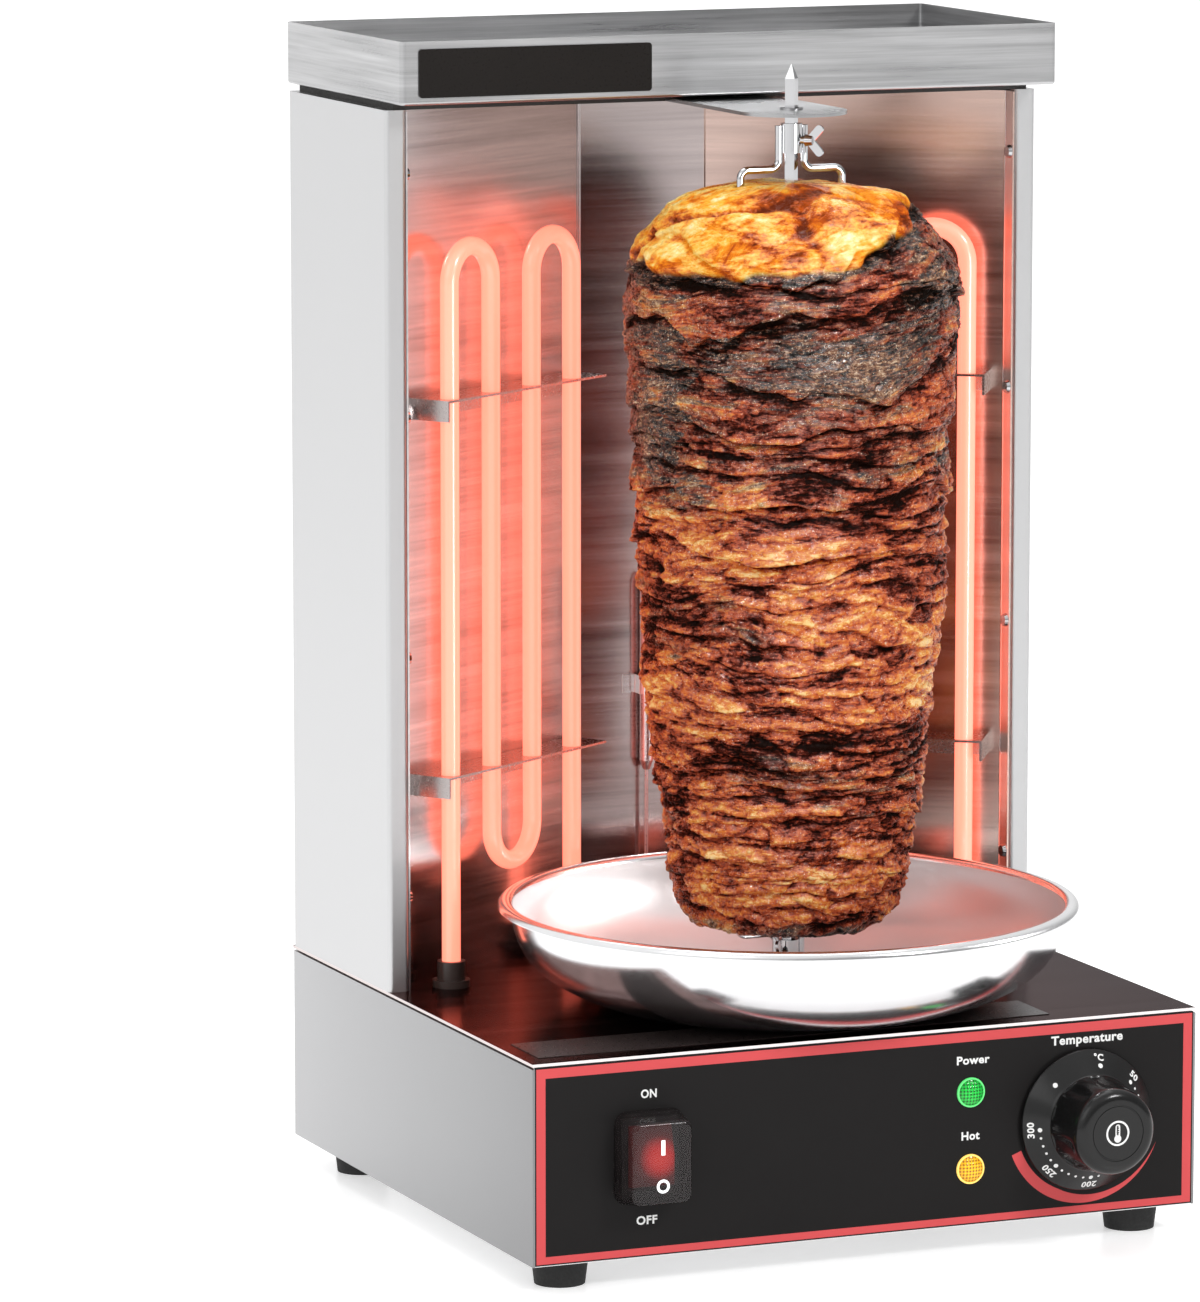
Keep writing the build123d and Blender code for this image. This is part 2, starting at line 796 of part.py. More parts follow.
def bottom_screw_z():
    """Height of the lower wing screw."""
    return bottom_hub_top_z - screw_from_hub_end


def screw_cutter(turn, z):
    """The threaded hole in a hub, pointing out at a given turn about the spit."""
    hole = Pos(hub_radius, 0, 0) * Rot(0, 90, 0) * Cylinder(screw_radius + running_clearance,
                                                            hub_radius * 2)
    return Pos(0, 0, z) * Rot(0, 0, turn) * hole


def wing_screw(turn, z):
    """A wing screw: a stud, a round boss and two leaning wings."""
    start = spit_width / 2 + seat_gap
    boss = hub_radius + screw_boss_start
    end = boss + screw_boss_length
    body = turned([(0, start), (screw_radius, start), (screw_radius, boss),
                   (screw_boss_radius, boss), (screw_boss_radius - screw_boss_taper, end), (0, end)])
    wing = extrude(SlotOverall(wing_span * 2, wing_width), wing_thickness / 2, both=True)
    wing = Rot(90, 0, 0) * Pos(wing_span - wing_width / 2 + wing_root, 0, 0) * wing
    wing = Pos(0, 0, boss + wing_width / 2) * Rot(0, -wing_lean, 0) * wing
    body += wing
    body += mirror(wing, about=Plane.YZ)
    stand = Rot(0, 0, turn) * Rot(0, 90, 0)
    return Pos(0, spit_y, z) * stand * body


def spit():
    """The square bar with its four-sided point."""
    shoulder = spit_tip_z - spit_point
    bar = Pos(0, 0, (spit_foot_z + shoulder) / 2) * Box(spit_width, spit_width, shoulder - spit_foot_z)
    base = Pos(0, 0, shoulder) * Rectangle(spit_width, spit_width)
    tip = Pos(0, 0, spit_tip_z) * Rectangle(spit_tip_width, spit_tip_width)
    return Pos(0, spit_y, 0) * Rot(0, 0, 45) * (bar + loft([base, tip]))


def meat_radius(share):
    """The meat's outer radius at a share of its height."""
    for (low, r0), (high, r1) in zip(meat_outline, meat_outline[1:]):
        if share <= high:
            return r0 + (r1 - r0) * (share - low) / (high - low)
    return meat_outline[-1][1]


def meat_stack():
    """The sliced meat: a stack of bulging slices on the spit, with the prongs' holes."""
    points = [(0, meat_bottom_z), (meat_disc, meat_bottom_z)]
    for slice_number in range(meat_slices):
        low = (slice_number + meat_slice_round) / meat_slices
        high = (slice_number + 1 - meat_slice_round) / meat_slices
        if slice_number:
            share = slice_number / meat_slices
            points.append((meat_radius(share) - meat_groove, meat_bottom_z + share * meat_height))
        points.append((meat_radius(low), meat_bottom_z + low * meat_height))
        points.append((meat_radius(high), meat_bottom_z + high * meat_height))
    points += [(meat_disc, meat_top_z), (0, meat_top_z)]
    meat = turned(points)
    meat -= Rot(0, 0, 45) * Box(spit_width, spit_width, meat_top_z * 2 + 10)
    depth = prong_length + top_run_drop
    for side in (-1, 1):
        x = side * prong_reach
        hole = rod_radius + prong_clearance
        meat -= post(hole, x, 0, meat_top_z - depth, meat_top_z + over_cut)
        meat -= post(hole, x, 0, meat_bottom_z - over_cut, meat_bottom_z + depth)
        meat -= post(hole + prong_mouth, x, 0, meat_top_z - rod_outer_bend, meat_top_z + over_cut)
        meat -= post(hole + prong_mouth, x, 0, meat_bottom_z - over_cut, meat_bottom_z + rod_outer_bend)
    return Pos(0, spit_y, 0) * meat


def drip_bowl():
    """The drip bowl: a collar round the drive, a flat floor, a curved wall and a rolled rim."""
    half = bowl_sheet / 2
    wall_top = bowl_height - bowl_rim_roll - half
    collar = Line((bowl_collar_radius, bowl_collar_height), (bowl_collar_radius, half))
    floor = Line((bowl_collar_radius, half), (bowl_floor_radius, half))
    knee = TangentArc((bowl_floor_radius, half), (bowl_knee_radius, bowl_knee_height),
                      tangent=(1, 0))
    wall = TangentArc((bowl_knee_radius, bowl_knee_height), (bowl_wall_radius, wall_top),
                      tangent=knee % 1)
    outer = bowl_radius - half
    crown = ((bowl_wall_radius + outer) / 2, wall_top + bowl_rim_roll)
    roll = ThreePointArc((bowl_wall_radius, wall_top), crown, (outer, wall_top))
    outline = Sketch() + [trace(part, line_width=bowl_sheet) for part in (floor, knee, wall, roll)]
    outline += trace(collar, line_width=bowl_sheet)
    bowl = revolve(Plane.XZ * outline, Axis.Z)
    return Pos(0, spit_y, top_z) * bowl


def shaft_bush():
    """The flanged bearing in the lid."""
    bore = shaft_radius + running_clearance
    bush = turned([(bore, top_z - bush_barrel_length), (bore, bush_top_z),
                   (bush_flange_radius, bush_top_z), (bush_flange_radius, top_z),
                   (bush_barrel_radius, top_z), (bush_barrel_radius, top_z - bush_barrel_length)])
    return Pos(0, spit_y, 0) * bush


def drive_shaft():
    """The output shaft of the gear motor."""
    return post(shaft_radius, 0, spit_y, gearbox_top_z - gearbox_height / 2, shaft_top_z)


def drive_socket():
    """The driver on the shaft, with a square pocket for the foot of the spit."""
    z0 = bush_top_z + socket_gap
    body = turned([(0, z0), (socket_radius, z0), (socket_radius, socket_top_z - socket_chamfer),
                   (socket_radius - socket_chamfer, socket_top_z), (0, socket_top_z)])
    body -= Cylinder(shaft_radius, 2 * shaft_top_z)
    pocket = spit_width + 2 * hub_clearance
    body -= Pos(0, 0, socket_top_z) * Rot(0, 0, 45) * Box(pocket, pocket, 2 * pocket_depth)
    return Pos(0, spit_y, 0) * body


def gear_motor():
    """The gearbox and motor under the lid, bored for the shaft."""
    gearbox = post(gearbox_radius, 0, spit_y, gearbox_top_z - gearbox_height, gearbox_top_z)
    low = gearbox_top_z - gearbox_height - motor_height
    can = post(motor_radius, 0, spit_y, low, gearbox_top_z - gearbox_height)
    bore = post(shaft_radius + running_clearance, 0, spit_y, gearbox_top_z - gearbox_height / 2,
                gearbox_top_z + over_cut)
    return gearbox + can - bore


def motor_bracket():
    """The bracket that hangs the gear motor from the lid."""
    half = bracket_sheet / 2
    z0 = gearbox_top_z + half
    high = lid_z - half
    foot_x = bracket_half_width + bracket_foot
    floor_x = bracket_half_width - bracket_slope
    path = FilletPolyline((-foot_x, high), (-bracket_half_width, high), (-floor_x, z0),
                          (floor_x, z0), (bracket_half_width, high), (foot_x, high),
                          radius=bend_radius)
    strip = extrude(Plane.XZ * trace(path, line_width=bracket_sheet), bracket_depth / 2, both=True)
    strip -= Cylinder(bush_barrel_radius + bracket_clearance, 2 * lid_z)
    return Pos(0, spit_y, 0) * strip


def thermostat_body():
    """The thermostat behind the panel."""
    y1 = panel_back_y + thermostat_depth
    body = block(knob_x - thermostat_width / 2, knob_x + thermostat_width / 2, panel_back_y, y1,
                 knob_z - thermostat_height / 2, knob_z + thermostat_height / 2)
    body = fillet(body.edges().filter_by(Axis.Y), thermostat_corner)
    return body - facing_front(knob_x, panel_back_y, knob_z).location * Cylinder(
        knob_shaft_radius + running_clearance, 2 * knob_shaft_inset)


def thermostat_shaft():
    """The shaft that the knob turns."""
    start = panel_back_y + knob_shaft_inset
    length = start - front_y + knob_gap + knob_shaft_socket
    shaft = extrude(Circle(knob_shaft_radius), length)
    return facing_front(knob_x, start, knob_z).location * shaft


def control_knob():
    """The knob: a numbered skirt and a tapered grip with scalloped sides."""
    skirt_front = knob_gap + skirt_thickness
    grip_start = skirt_front + grip_foot
    skirt = turned([(0, knob_gap), (skirt_radius, knob_gap), (skirt_radius, knob_gap + skirt_edge),
                    (grip_radius, skirt_front), (grip_radius, grip_start),
                    (grip_front_radius, knob_reach - knob_crown),
                    (grip_front_radius - knob_crown, knob_reach), (0, knob_reach)])
    flute = Cylinder(flute_radius, knob_reach)
    taper = math.degrees(math.atan2(grip_radius - grip_front_radius,
                                    knob_reach - knob_crown - grip_start))
    for number in range(grip_flutes):
        turn = 360.0 * (number + 0.5) / grip_flutes
        place = Pos(grip_radius + flute_radius - flute_depth, 0, grip_start) * Rot(0, -taper, 0)
        skirt -= Rot(0, 0, turn) * place * Pos(0, 0, knob_reach / 2) * flute
    skirt -= Cylinder(knob_shaft_radius, 2 * (knob_gap + knob_shaft_socket))
    return facing_front(knob_x, front_y, knob_z).location * skirt


def thermostat_bulb():
    """The sensing bulb in front of the centre panel."""
    tip = bulb_radius / 2
    top = bulb_z + bulb_length
    bulb = turned([(0, bulb_z), (tip, bulb_z), (bulb_radius, bulb_z + bulb_nose),
                   (bulb_radius, top - bulb_nose), (tip, top), (0, top)])
    return Pos(0, bulb_y, 0) * bulb


def bulb_clip():
    """The strap that holds the bulb to the centre panel."""
    wall_y = seam_y - reflector_sheet - clip_sheet / 2
    outer = bulb_radius + clip_sheet / 2
    loop = ThreePointArc((outer, bulb_y), (0, bulb_y - outer), (-outer, bulb_y))
    strap = trace(loop, line_width=clip_sheet)
    for side in (-1, 1):
        leg = FilletPolyline((side * (outer + clip_foot), wall_y), (side * outer, wall_y),
                             (side * outer, bulb_y), radius=clip_sheet)
        strap += trace(leg, line_width=clip_sheet)
    return Pos(0, 0, clip_z - clip_width / 2) * extrude(strap, clip_width, dir=(0, 0, 1))


def capillary_tube():
    """The fine tube from the bulb down through the lid to the thermostat."""
    corners = [(0, bulb_y, bulb_z), (0, bulb_y, capillary_z),
               (knob_x, bulb_y, capillary_z),
               (knob_x, panel_back_y + thermostat_depth, capillary_z)]
    path = FilletPolyline(*corners, radius=capillary_bend)
    start = Plane(origin=corners[0], z_dir=(0, 0, -1))
    return sweep(start * Circle(capillary_radius), path=path)


def lamp_lens(z):
    """A domed lamp lens in the panel."""
    turns = [math.pi / 2 * step / lamp_steps for step in range(lamp_steps + 1)]
    dome = [(lamp_radius * math.cos(turn), lamp_rim + lamp_rise * math.sin(turn)) for turn in turns[:-1]]
    lens = turned([(0, 0), (lamp_radius, 0), *dome, (0, lamp_rim + lamp_rise)])
    return facing_front(lamp_x, front_y, z).location * lens


def lamp_bodies():
    """The barrels of the two lamps, behind the lenses."""
    barrels = []
    for z in lamp_heights:
        barrel = extrude(Circle(lamp_barrel_radius), -lamp_barrel_length)
        for side in (-1, 1):
            x = side * lamp_tab_spacing / 2
            barrel += block(x - lamp_tab_thickness / 2, x + lamp_tab_thickness / 2,
                            -lamp_tab_width / 2, lamp_tab_width / 2,
                            -lamp_barrel_length - lamp_tab_length, -lamp_barrel_length)
        barrels.append(facing_front(lamp_x, front_y, z).location * barrel)
    return Part() + barrels


def switch_body():
    """The switch housing in its cut-out, with a frame in front and a well for the rocker."""
    width = switch_cut_width - 2 * switch_fit
    height = switch_cut_height - 2 * switch_fit
    body = Pos(0, 0, -switch_depth / 2) * Box(width, height, switch_depth)
    lip = 2 * switch_frame_lip
    body += Pos(0, 0, switch_frame_rise / 2) * Box(width + lip, height + lip, switch_frame_rise)
    well = Box(width - 2 * switch_wall, height - 2 * switch_wall, 2 * rocker_well_depth)
    body -= well
    pins = Pos(0, 0, -rocker_pivot_depth) * Rot(0, 90, 0) * Cylinder(
        rocker_pin_radius + running_clearance, width + over_cut)
    return facing_front(switch_x, front_y, switch_z).location * (body - pins)


def switch_rocker():
    """The lit rocker, pressed in at the top, on two stub pins."""
    half = rocker_half_height
    outline = make_face(Polyline((half, -rocker_heel), (half, rocker_end), (0, rocker_crown),
                                 (-half, rocker_end), (-half, -rocker_heel), (-half / 2, -rocker_end),
                                 (half / 2, -rocker_end), close=True))
    width = switch_cut_width - 2 * switch_fit - 2 * switch_wall - 2 * rocker_clearance
    body = Rot(0, 90, 0) * Rot(0, 0, 90) * extrude(outline, width / 2, both=True)
    body += Rot(0, 90, 0) * Cylinder(rocker_pin_radius, width + 2 * rocker_clearance
                                     + 2 * rocker_pin_length)
    place = facing_front(switch_x, front_y + rocker_pivot_depth, switch_z).location
    return place * Rot(-rocker_angle, 0, 0) * body


def switch_cover():
    """The clear splash cover over the rocker."""
    outer = extrude(RectangleRounded(boot_width, boot_height, boot_corner), boot_rise, taper=boot_taper)
    outer = fillet(outer.faces().sort_by(Axis.Z)[-1].edges(), boot_edge)
    inner = extrude(RectangleRounded(boot_width - 2 * boot_wall, boot_height - 2 * boot_wall,
                                     boot_corner - boot_wall), boot_rise - boot_wall, taper=boot_taper)
    return facing_front(switch_x, front_y, switch_z).location * (outer - inner)


nodes = {
    "base_shell": base_shell(),
    "base_lid": base_lid(),
    "base_tray": base_tray(),
    "rubber_feet": rubber_feet(),
    "foot_screws": foot_screws(),
    "control_panel": control_panel(),
    "panel_overlay": panel_overlay(),
    "base_label": base_label(),
    "cable_gland": cable_gland(),
    "gland_nut": gland_nut(),
    "terminal_block": terminal_block(),
    "left_wall": wall_left(),
    "right_wall": mirrored(wall_left()),
    "wall_screws": wall_screws(),
    "back_panel": back_panel(),
    "left_reflector": reflector_left(),
    "right_reflector": mirrored(reflector_left()),
    "centre_reflector": centre_reflector(),
    "hood_spacer": hood_spacer(),
    "hood_tray": hood_tray(),
    "hood_badge": hood_badge(),
    "spit_guide": spit_guide(),
    "guide_bush": guide_bush(),
    "guide_screws": guide_screws(),
    "left_heater": heater_left(),
    "right_heater": mirrored(heater_left()),
    "heater_terminals": heater_terminals(),
    "heater_ferrules": heater_ferrules(),
    "left_lower_clamp": clamp_left(clamp_heights[0]),
    "left_upper_clamp": clamp_left(clamp_heights[1]),
    "right_lower_clamp": mirrored(clamp_left(clamp_heights[0])),
    "right_upper_clamp": mirrored(clamp_left(clamp_heights[1])),
    "spit": spit(),
    "top_fork": top_fork(),
    "bottom_fork": bottom_fork(),
    "top_wing_screw": wing_screw(top_screw_turn, top_screw_z()),
    "bottom_wing_screw": wing_screw(bottom_screw_turn, bottom_screw_z()),
    "meat_stack": meat_stack(),
    "drip_bowl": drip_bowl(),
    "shaft_bush": shaft_bush(),
    "drive_shaft": drive_shaft(),
    "drive_socket": drive_socket(),
    "gear_motor": gear_motor(),
    "motor_bracket": motor_bracket(),
    "thermostat_body": thermostat_body(),
    "thermostat_shaft": thermostat_shaft(),
    "control_knob": control_knob(),
    "thermostat_bulb": thermostat_bulb(),
    "bulb_clip": bulb_clip(),
    "capillary_tube": capillary_tube(),
    "power_lamp_lens": lamp_lens(lamp_heights[0]),
    "hot_lamp_lens": lamp_lens(lamp_heights[1]),
    "lamp_bodies": lamp_bodies(),
    "switch_body": switch_body(),
    "switch_rocker": switch_rocker(),
    "switch_cover": switch_cover(),
}

os.makedirs("parts", exist_ok=True)
for name, part in nodes.items():
    export_step(part, f"parts/{name}.step")
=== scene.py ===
import math

import bpy
import numpy as np
from mathutils import Matrix, Vector


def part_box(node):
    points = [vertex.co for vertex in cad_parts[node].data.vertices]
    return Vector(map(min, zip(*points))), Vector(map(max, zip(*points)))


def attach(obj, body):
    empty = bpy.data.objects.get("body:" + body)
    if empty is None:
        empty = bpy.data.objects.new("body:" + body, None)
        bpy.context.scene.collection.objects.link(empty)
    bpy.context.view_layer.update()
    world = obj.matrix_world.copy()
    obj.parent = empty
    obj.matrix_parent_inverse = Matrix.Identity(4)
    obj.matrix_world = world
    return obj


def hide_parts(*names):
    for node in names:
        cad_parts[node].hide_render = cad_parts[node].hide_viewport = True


# The looks of a vertical rotisserie. Metres, +Z up, the control panel towards -Y.

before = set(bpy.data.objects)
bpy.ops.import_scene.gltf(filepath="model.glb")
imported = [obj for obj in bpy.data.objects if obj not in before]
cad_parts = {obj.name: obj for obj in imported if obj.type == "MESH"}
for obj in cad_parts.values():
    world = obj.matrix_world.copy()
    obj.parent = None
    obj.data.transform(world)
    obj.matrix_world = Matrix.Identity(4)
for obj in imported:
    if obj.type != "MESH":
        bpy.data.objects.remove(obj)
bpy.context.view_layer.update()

MM = 0.001
ROOT = "root"

# Camera
CAMERA_PLACE = (-1.2769, -2.86735, 0.7223)
CAMERA_AZIMUTH = -22.86
CAMERA_ELEVATION = 8.77
CAMERA_LENS = 207.55
CAMERA_SENSOR = 36.0

# Surround: its bright direction, and its tone from the darkest side to the brightest
BRIGHT_WAY = (-0.55, 0.45, 0.7)
SURROUND = [(0.0, (0.22, 0.22, 0.22)), (0.42, (0.36, 0.36, 0.36)), (0.62, (0.80, 0.80, 0.80)),
            (1.0, (1.0, 1.0, 1.0))]
SURROUND_STRENGTH = 1.1
FLOOR_SIZE = 60.0
FLOOR_GLOW = 0.44

# Lights: name, place, the point that each faces, size and power
KEY_LIGHTS = [("key", (1.0, -1.9, 1.7), (0, 0, 0.28), (0.5, 0.5), 30.0),
              ("soft_left", (-1.9, -1.2, 1.6), (0, 0, 0.2), (1.4, 1.4), 7.0),
              ("soft_top", (0.0, 0.6, 2.6), (0, 0, 0.0), (2.0, 2.0), 22.0)]
HEATER_LIGHT = ("strip", (0.42, -1.14, 0.16), (-0.06, 0.06, 0.26), (0.12, 0.8), 13.0)
ROAST_LIGHT = ("spark", (-0.35, -1.5, 1.75), (0, 0, 0.28), (0.3, 0.3), 110.0)
BOWL_LIGHT = ("fill", (1.4, -0.5, 0.7), (-0.06, 0.0, 0.12), (0.3, 0.3), 34.0)

# Painted highlights on sheet edges, and smooth shading
HEM_HIGHLIGHT_COLOUR = (0.86, 0.80, 0.79)
HEM_HIGHLIGHT_ROUGHNESS = 0.3
SHARP_ANGLE = 35

# Lens hatch and rocker glow
HATCH_PITCH = 1.4
LENS_RIM = (0.84, 0.90)
GLOW_SHIFT = (3.0, -0.5)
GLOW_REACH = (1.5, 12.5)


def cad(name):
    """The object of a CAD node."""
    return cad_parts[name]


# Places read from the frame
lid_low, lid_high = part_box("base_lid")
film_low, film_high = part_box("panel_overlay")
meat_low, meat_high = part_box("meat_stack")
knob_low, knob_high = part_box("control_knob")
front_y = film_low.y
top_z = lid_high.z
spit_y = (meat_low.y + meat_high.y) / 2
knob_x = (knob_low.x + knob_high.x) / 2 / MM
knob_z = (knob_low.z + knob_high.z) / 2 / MM


# Material helpers


def feed(target, key, value):
    """Sets a node's socket to a value, or links another node's socket to it."""
    socket = target.inputs[key]
    if isinstance(value, bpy.types.NodeSocket):
        target.id_data.links.new(value, socket)
    else:
        socket.default_value = value


def feed_all(target, inputs):
    """Feeds several sockets, whose names are written with _ for a space."""
    for key, value in inputs.items():
        feed(target, key.replace("_", " "), value)


def new_material(name, **inputs):
    """A node material with some of its shader's sockets set, its tree and its shader."""
    material = bpy.data.materials.new(name)
    material.use_nodes = True
    tree = material.node_tree
    shader = tree.nodes["Principled BSDF"]
    feed_all(shader, inputs)
    return material, tree, shader


def node(tree, kind, **inputs):
    """A shader node with some of its sockets set or linked."""
    made = tree.nodes.new(kind)
    feed_all(made, inputs)
    return made


def object_place(tree):
    """The object coordinates."""
    return tree.nodes.new("ShaderNodeTexCoord").outputs["Object"]


def parts_of(tree, vector):
    """The X, Y and Z of a vector."""
    return node(tree, "ShaderNodeSeparateXYZ", Vector=vector).outputs


def noise(tree, scale, detail=4.0, roughness=0.55, distortion=0.0, place=None):
    """A noise texture on object coordinates or another place, scaled evenly or along each axis."""
    if place is None:
        place = object_place(tree)
    if isinstance(scale, float):
        scale = (scale, scale, scale)
    vector = node(tree, "ShaderNodeMapping", Vector=place, Scale=scale).outputs["Vector"]
    return node(tree, "ShaderNodeTexNoise", Vector=vector, Scale=1.0, Detail=detail, Roughness=roughness,
                Distortion=distortion).outputs["Fac"]


def ranged(tree, value, low, high, start=0.3, end=0.7):
    """A value moved from one range to another."""
    return node(tree, "ShaderNodeMapRange", Value=value, From_Min=start, From_Max=end, To_Min=low,
                To_Max=high).outputs["Result"]


def ramp(tree, value, stops):
    """A colour ramp over a value."""
    made = node(tree, "ShaderNodeValToRGB", Fac=value)
    elements = made.color_ramp.elements
    while len(elements) < len(stops):
        elements.new(0.5)
    for element, (position, colour) in zip(elements, stops):
        element.position = position
        element.color = (*colour, 1.0)
    return made.outputs["Color"]


def shades(tree, value, colour, spread):
    """A ramp from a colour made darker by a share to the same colour made lighter."""
    dark = [channel * (1 - spread) for channel in colour]
    light = [min(1.0, channel * (1 + spread)) for channel in colour]
    return ramp(tree, value, [(0.3, dark), (0.7, light)])


def mixed(tree, factor, first, second, blend="MIX"):
    """Two colours mixed by a factor. Each may be a socket or a plain colour."""
    made = tree.nodes.new("ShaderNodeMix")
    made.data_type = "RGBA"
    made.blend_type = blend
    for index, value in ((0, factor), (6, first), (7, second)):
        feed(made, index, (*value, 1.0) if isinstance(value, tuple) else value)
    return made.outputs[2]


def mixed_value(tree, factor, first, second):
    """Two values mixed by a factor."""
    made = tree.nodes.new("ShaderNodeMix")
    for index, value in ((0, factor), (2, first), (3, second)):
        feed(made, index, value)
    return made.outputs[0]


def arithmetic(tree, kind, first, second=0.0):
    """Two values put together. Each may be a socket or a number."""
    made = tree.nodes.new("ShaderNodeMath")
    made.operation = kind
    feed(made, 0, first)
    feed(made, 1, second)
    return made.outputs["Value"]


def vector_maths(tree, kind, vector, fixed, output):
    """A place put together with a fixed vector."""
    made = tree.nodes.new("ShaderNodeVectorMath")
    made.operation = kind
    feed(made, 0, vector)
    feed(made, 1, fixed)
    return made.outputs[output]


def bumped(tree, shader, height, strength, distance):
    """Adds a bump to a shader, on top of any that it has. The distance is in millimetres."""
    made = node(tree, "ShaderNodeBump", Strength=strength, Distance=distance * MM, Height=height)
    before = shader.inputs["Normal"].links
    if before:
        feed(made, "Normal", before[0].from_socket)
    feed(shader, "Normal", made.outputs["Normal"])


def source(shader, key):
    """The socket that feeds one of a shader's sockets."""
    return shader.inputs[key].links[0].from_socket


# Finishes


def brushed_steel(name, colour, fine, coarse, contrast, roughness, edge=(1.0, 1.0, 1.0)):
    """Steel with fine grain and broader soft streaks."""
    material, tree, shader = new_material(name, Metallic=1.0, Specular_Tint=(*edge, 1.0))
    grain = noise(tree, fine, detail=5.0, roughness=0.65)
    streaks = noise(tree, coarse, detail=5.0, roughness=0.6)
    both = mixed(tree, 0.3, streaks, grain)
    feed(shader, "Base Color", shades(tree, both, colour, contrast))
    feed(shader, "Roughness", ranged(tree, both, *roughness))
    bumped(tree, shader, grain, 0.06, 0.03)
    return material


def tone_along(finish, axis, first, last):
    """Paints light and shade into a finish: multiplies its colour by a tone that runs from one end of the
    lid to the other.
    """
    tree = finish.node_tree
    shader = tree.nodes["Principled BSDF"]
    place = parts_of(tree, object_place(tree))[axis]
    number = "XYZ".index(axis)
    share = ranged(tree, place, 0.0, 1.0, start=lid_low[number], end=lid_high[number])
    tone = ramp(tree, share, [(0.0, first), (1.0, last)])
    feed(shader, "Base Color", mixed(tree, 1.0, source(shader, "Base Color"), tone, "MULTIPLY"))


def brighten_hems(finish, axis, limit):
    """Paints a highlight on a sheet's edges, where the face turns away from an axis: a paler, glossier
    colour that stands in for light caught by the edges.
    """
    tree = finish.node_tree
    shader = tree.nodes["Principled BSDF"]
    parts = parts_of(tree, tree.nodes.new("ShaderNodeNewGeometry").outputs["True Normal"])
    hem_highlight = arithmetic(tree, "LESS_THAN", arithmetic(tree, "ABSOLUTE", parts[axis]), limit)
    feed(shader, "Base Color", mixed(tree, hem_highlight, source(shader, "Base Color"), HEM_HIGHLIGHT_COLOUR))
    feed(shader, "Roughness", mixed_value(tree, hem_highlight, source(shader, "Roughness"), HEM_HIGHLIGHT_ROUGHNESS))


def plain(name, colour, roughness, metallic=0.0, variation=0.08, bump=0.15, gloss=0.5):
    """A plain finish with a slight, fine variation in tone and gloss."""
    material, tree, shader = new_material(name, Metallic=metallic, Specular_IOR_Level=gloss)
    speckle = noise(tree, 900.0, detail=3.0)
    feed(shader, "Base Color", shades(tree, noise(tree, 30.0, detail=2.0), colour, variation))
    feed(shader, "Roughness", ranged(tree, speckle, roughness * 0.85, roughness * 1.15))
    bumped(tree, shader, speckle, bump, 0.03)
    return material


def glowing(name, colour, strength, base, roughness, coat):
    """A finish that gives light of its own."""
    material, tree, shader = new_material(name, Emission_Color=(*colour, 1.0), Emission_Strength=strength,
                                          Roughness=roughness, Coat_Weight=coat, Coat_Roughness=0.16)
    dark = [channel * 0.9 for channel in base]
    feed(shader, "Base Color", ramp(tree, noise(tree, 400.0), [(0.3, dark), (0.7, base)]))
    return material


def hatched_lens(name, node_name, dark, light, rim):
    """A lit lens: a fine square hatch inside a brighter rim."""
    material, tree, shader = new_material(name, Emission_Strength=0.55, Roughness=0.12)
    low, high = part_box(node_name)
    radius = (high.x - low.x) / 2
    parts = parts_of(tree, vector_maths(tree, "SUBTRACT", object_place(tree), (low + high) / 2, "Vector"))
    waves = []
    squares = []
    for axis in ("X", "Z"):
        turn = arithmetic(tree, "MULTIPLY", parts[axis], 2 * math.pi / (HATCH_PITCH * MM))
        waves.append(arithmetic(tree, "COSINE", turn))
        squares.append(arithmetic(tree, "MULTIPLY", parts[axis], parts[axis]))
    reach = arithmetic(tree, "SQRT", arithmetic(tree, "ADD", *squares))
    shade = ranged(tree, arithmetic(tree, "ADD", *waves), 0.0, 1.0, start=-1.6, end=0.9)
    fade = ranged(tree, reach, 1.0, 0.55, radius * 0.45, radius * LENS_RIM[0])
    glow = mixed(tree, arithmetic(tree, "MULTIPLY", shade, fade), dark, light)
    edge = ranged(tree, reach, 0.0, 1.0, radius * LENS_RIM[0], radius * LENS_RIM[1])
    glow = mixed(tree, edge, glow, rim)
    feed(shader, "Base Color", glow)
    feed(shader, "Emission Color", glow)
    return material


def smoked_cover():
    """Dark, half clear moulded plastic."""
    material, tree, shader = new_material("smoked_cover", Roughness=0.14, Alpha=0.4)
    cloud = noise(tree, 60.0, detail=2.0)
    feed(shader, "Base Color", ramp(tree, cloud, [(0.3, (0.02, 0.016, 0.016)), (0.7, (0.03, 0.024, 0.024))]))
    return material


def lit_rocker():
    """Red plastic lit from behind in the middle."""
    material, tree, shader = new_material("lit_rocker", Emission_Strength=1.25, Roughness=0.3)
    low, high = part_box("switch_rocker")
    middle = (low + high) / 2
    spot = (middle.x + GLOW_SHIFT[0] * MM, low.y, middle.z + GLOW_SHIFT[1] * MM)
    distance = vector_maths(tree, "DISTANCE", object_place(tree), spot, "Value")
    near = ranged(tree, distance, 1.0, 0.0, start=GLOW_REACH[0] * MM, end=GLOW_REACH[1] * MM)
    glow = ramp(tree, near, [(0.0, (0.035, 0.004, 0.004)), (0.30, (0.09, 0.006, 0.006)),
                             (0.72, (0.85, 0.03, 0.03)), (1.0, (1.0, 0.05, 0.04))])
    feed(shader, "Emission Color", glow)
    grain = noise(tree, 500.0, detail=2.0)
    feed(shader, "Base Color", ramp(tree, grain, [(0.3, (0.10, 0.008, 0.008)), (0.7, (0.13, 0.01, 0.01))]))
    return material


STREAK_Z = (6.0, 6.0, 900.0)
BROAD_Z = (7.0, 7.0, 190.0)
STREAK_Y = (3.0, 500.0, 3.0)
BROAD_Y = (1.5, 60.0, 1.5)
EVEN_BROAD = (9.0, 9.0, 3.0)

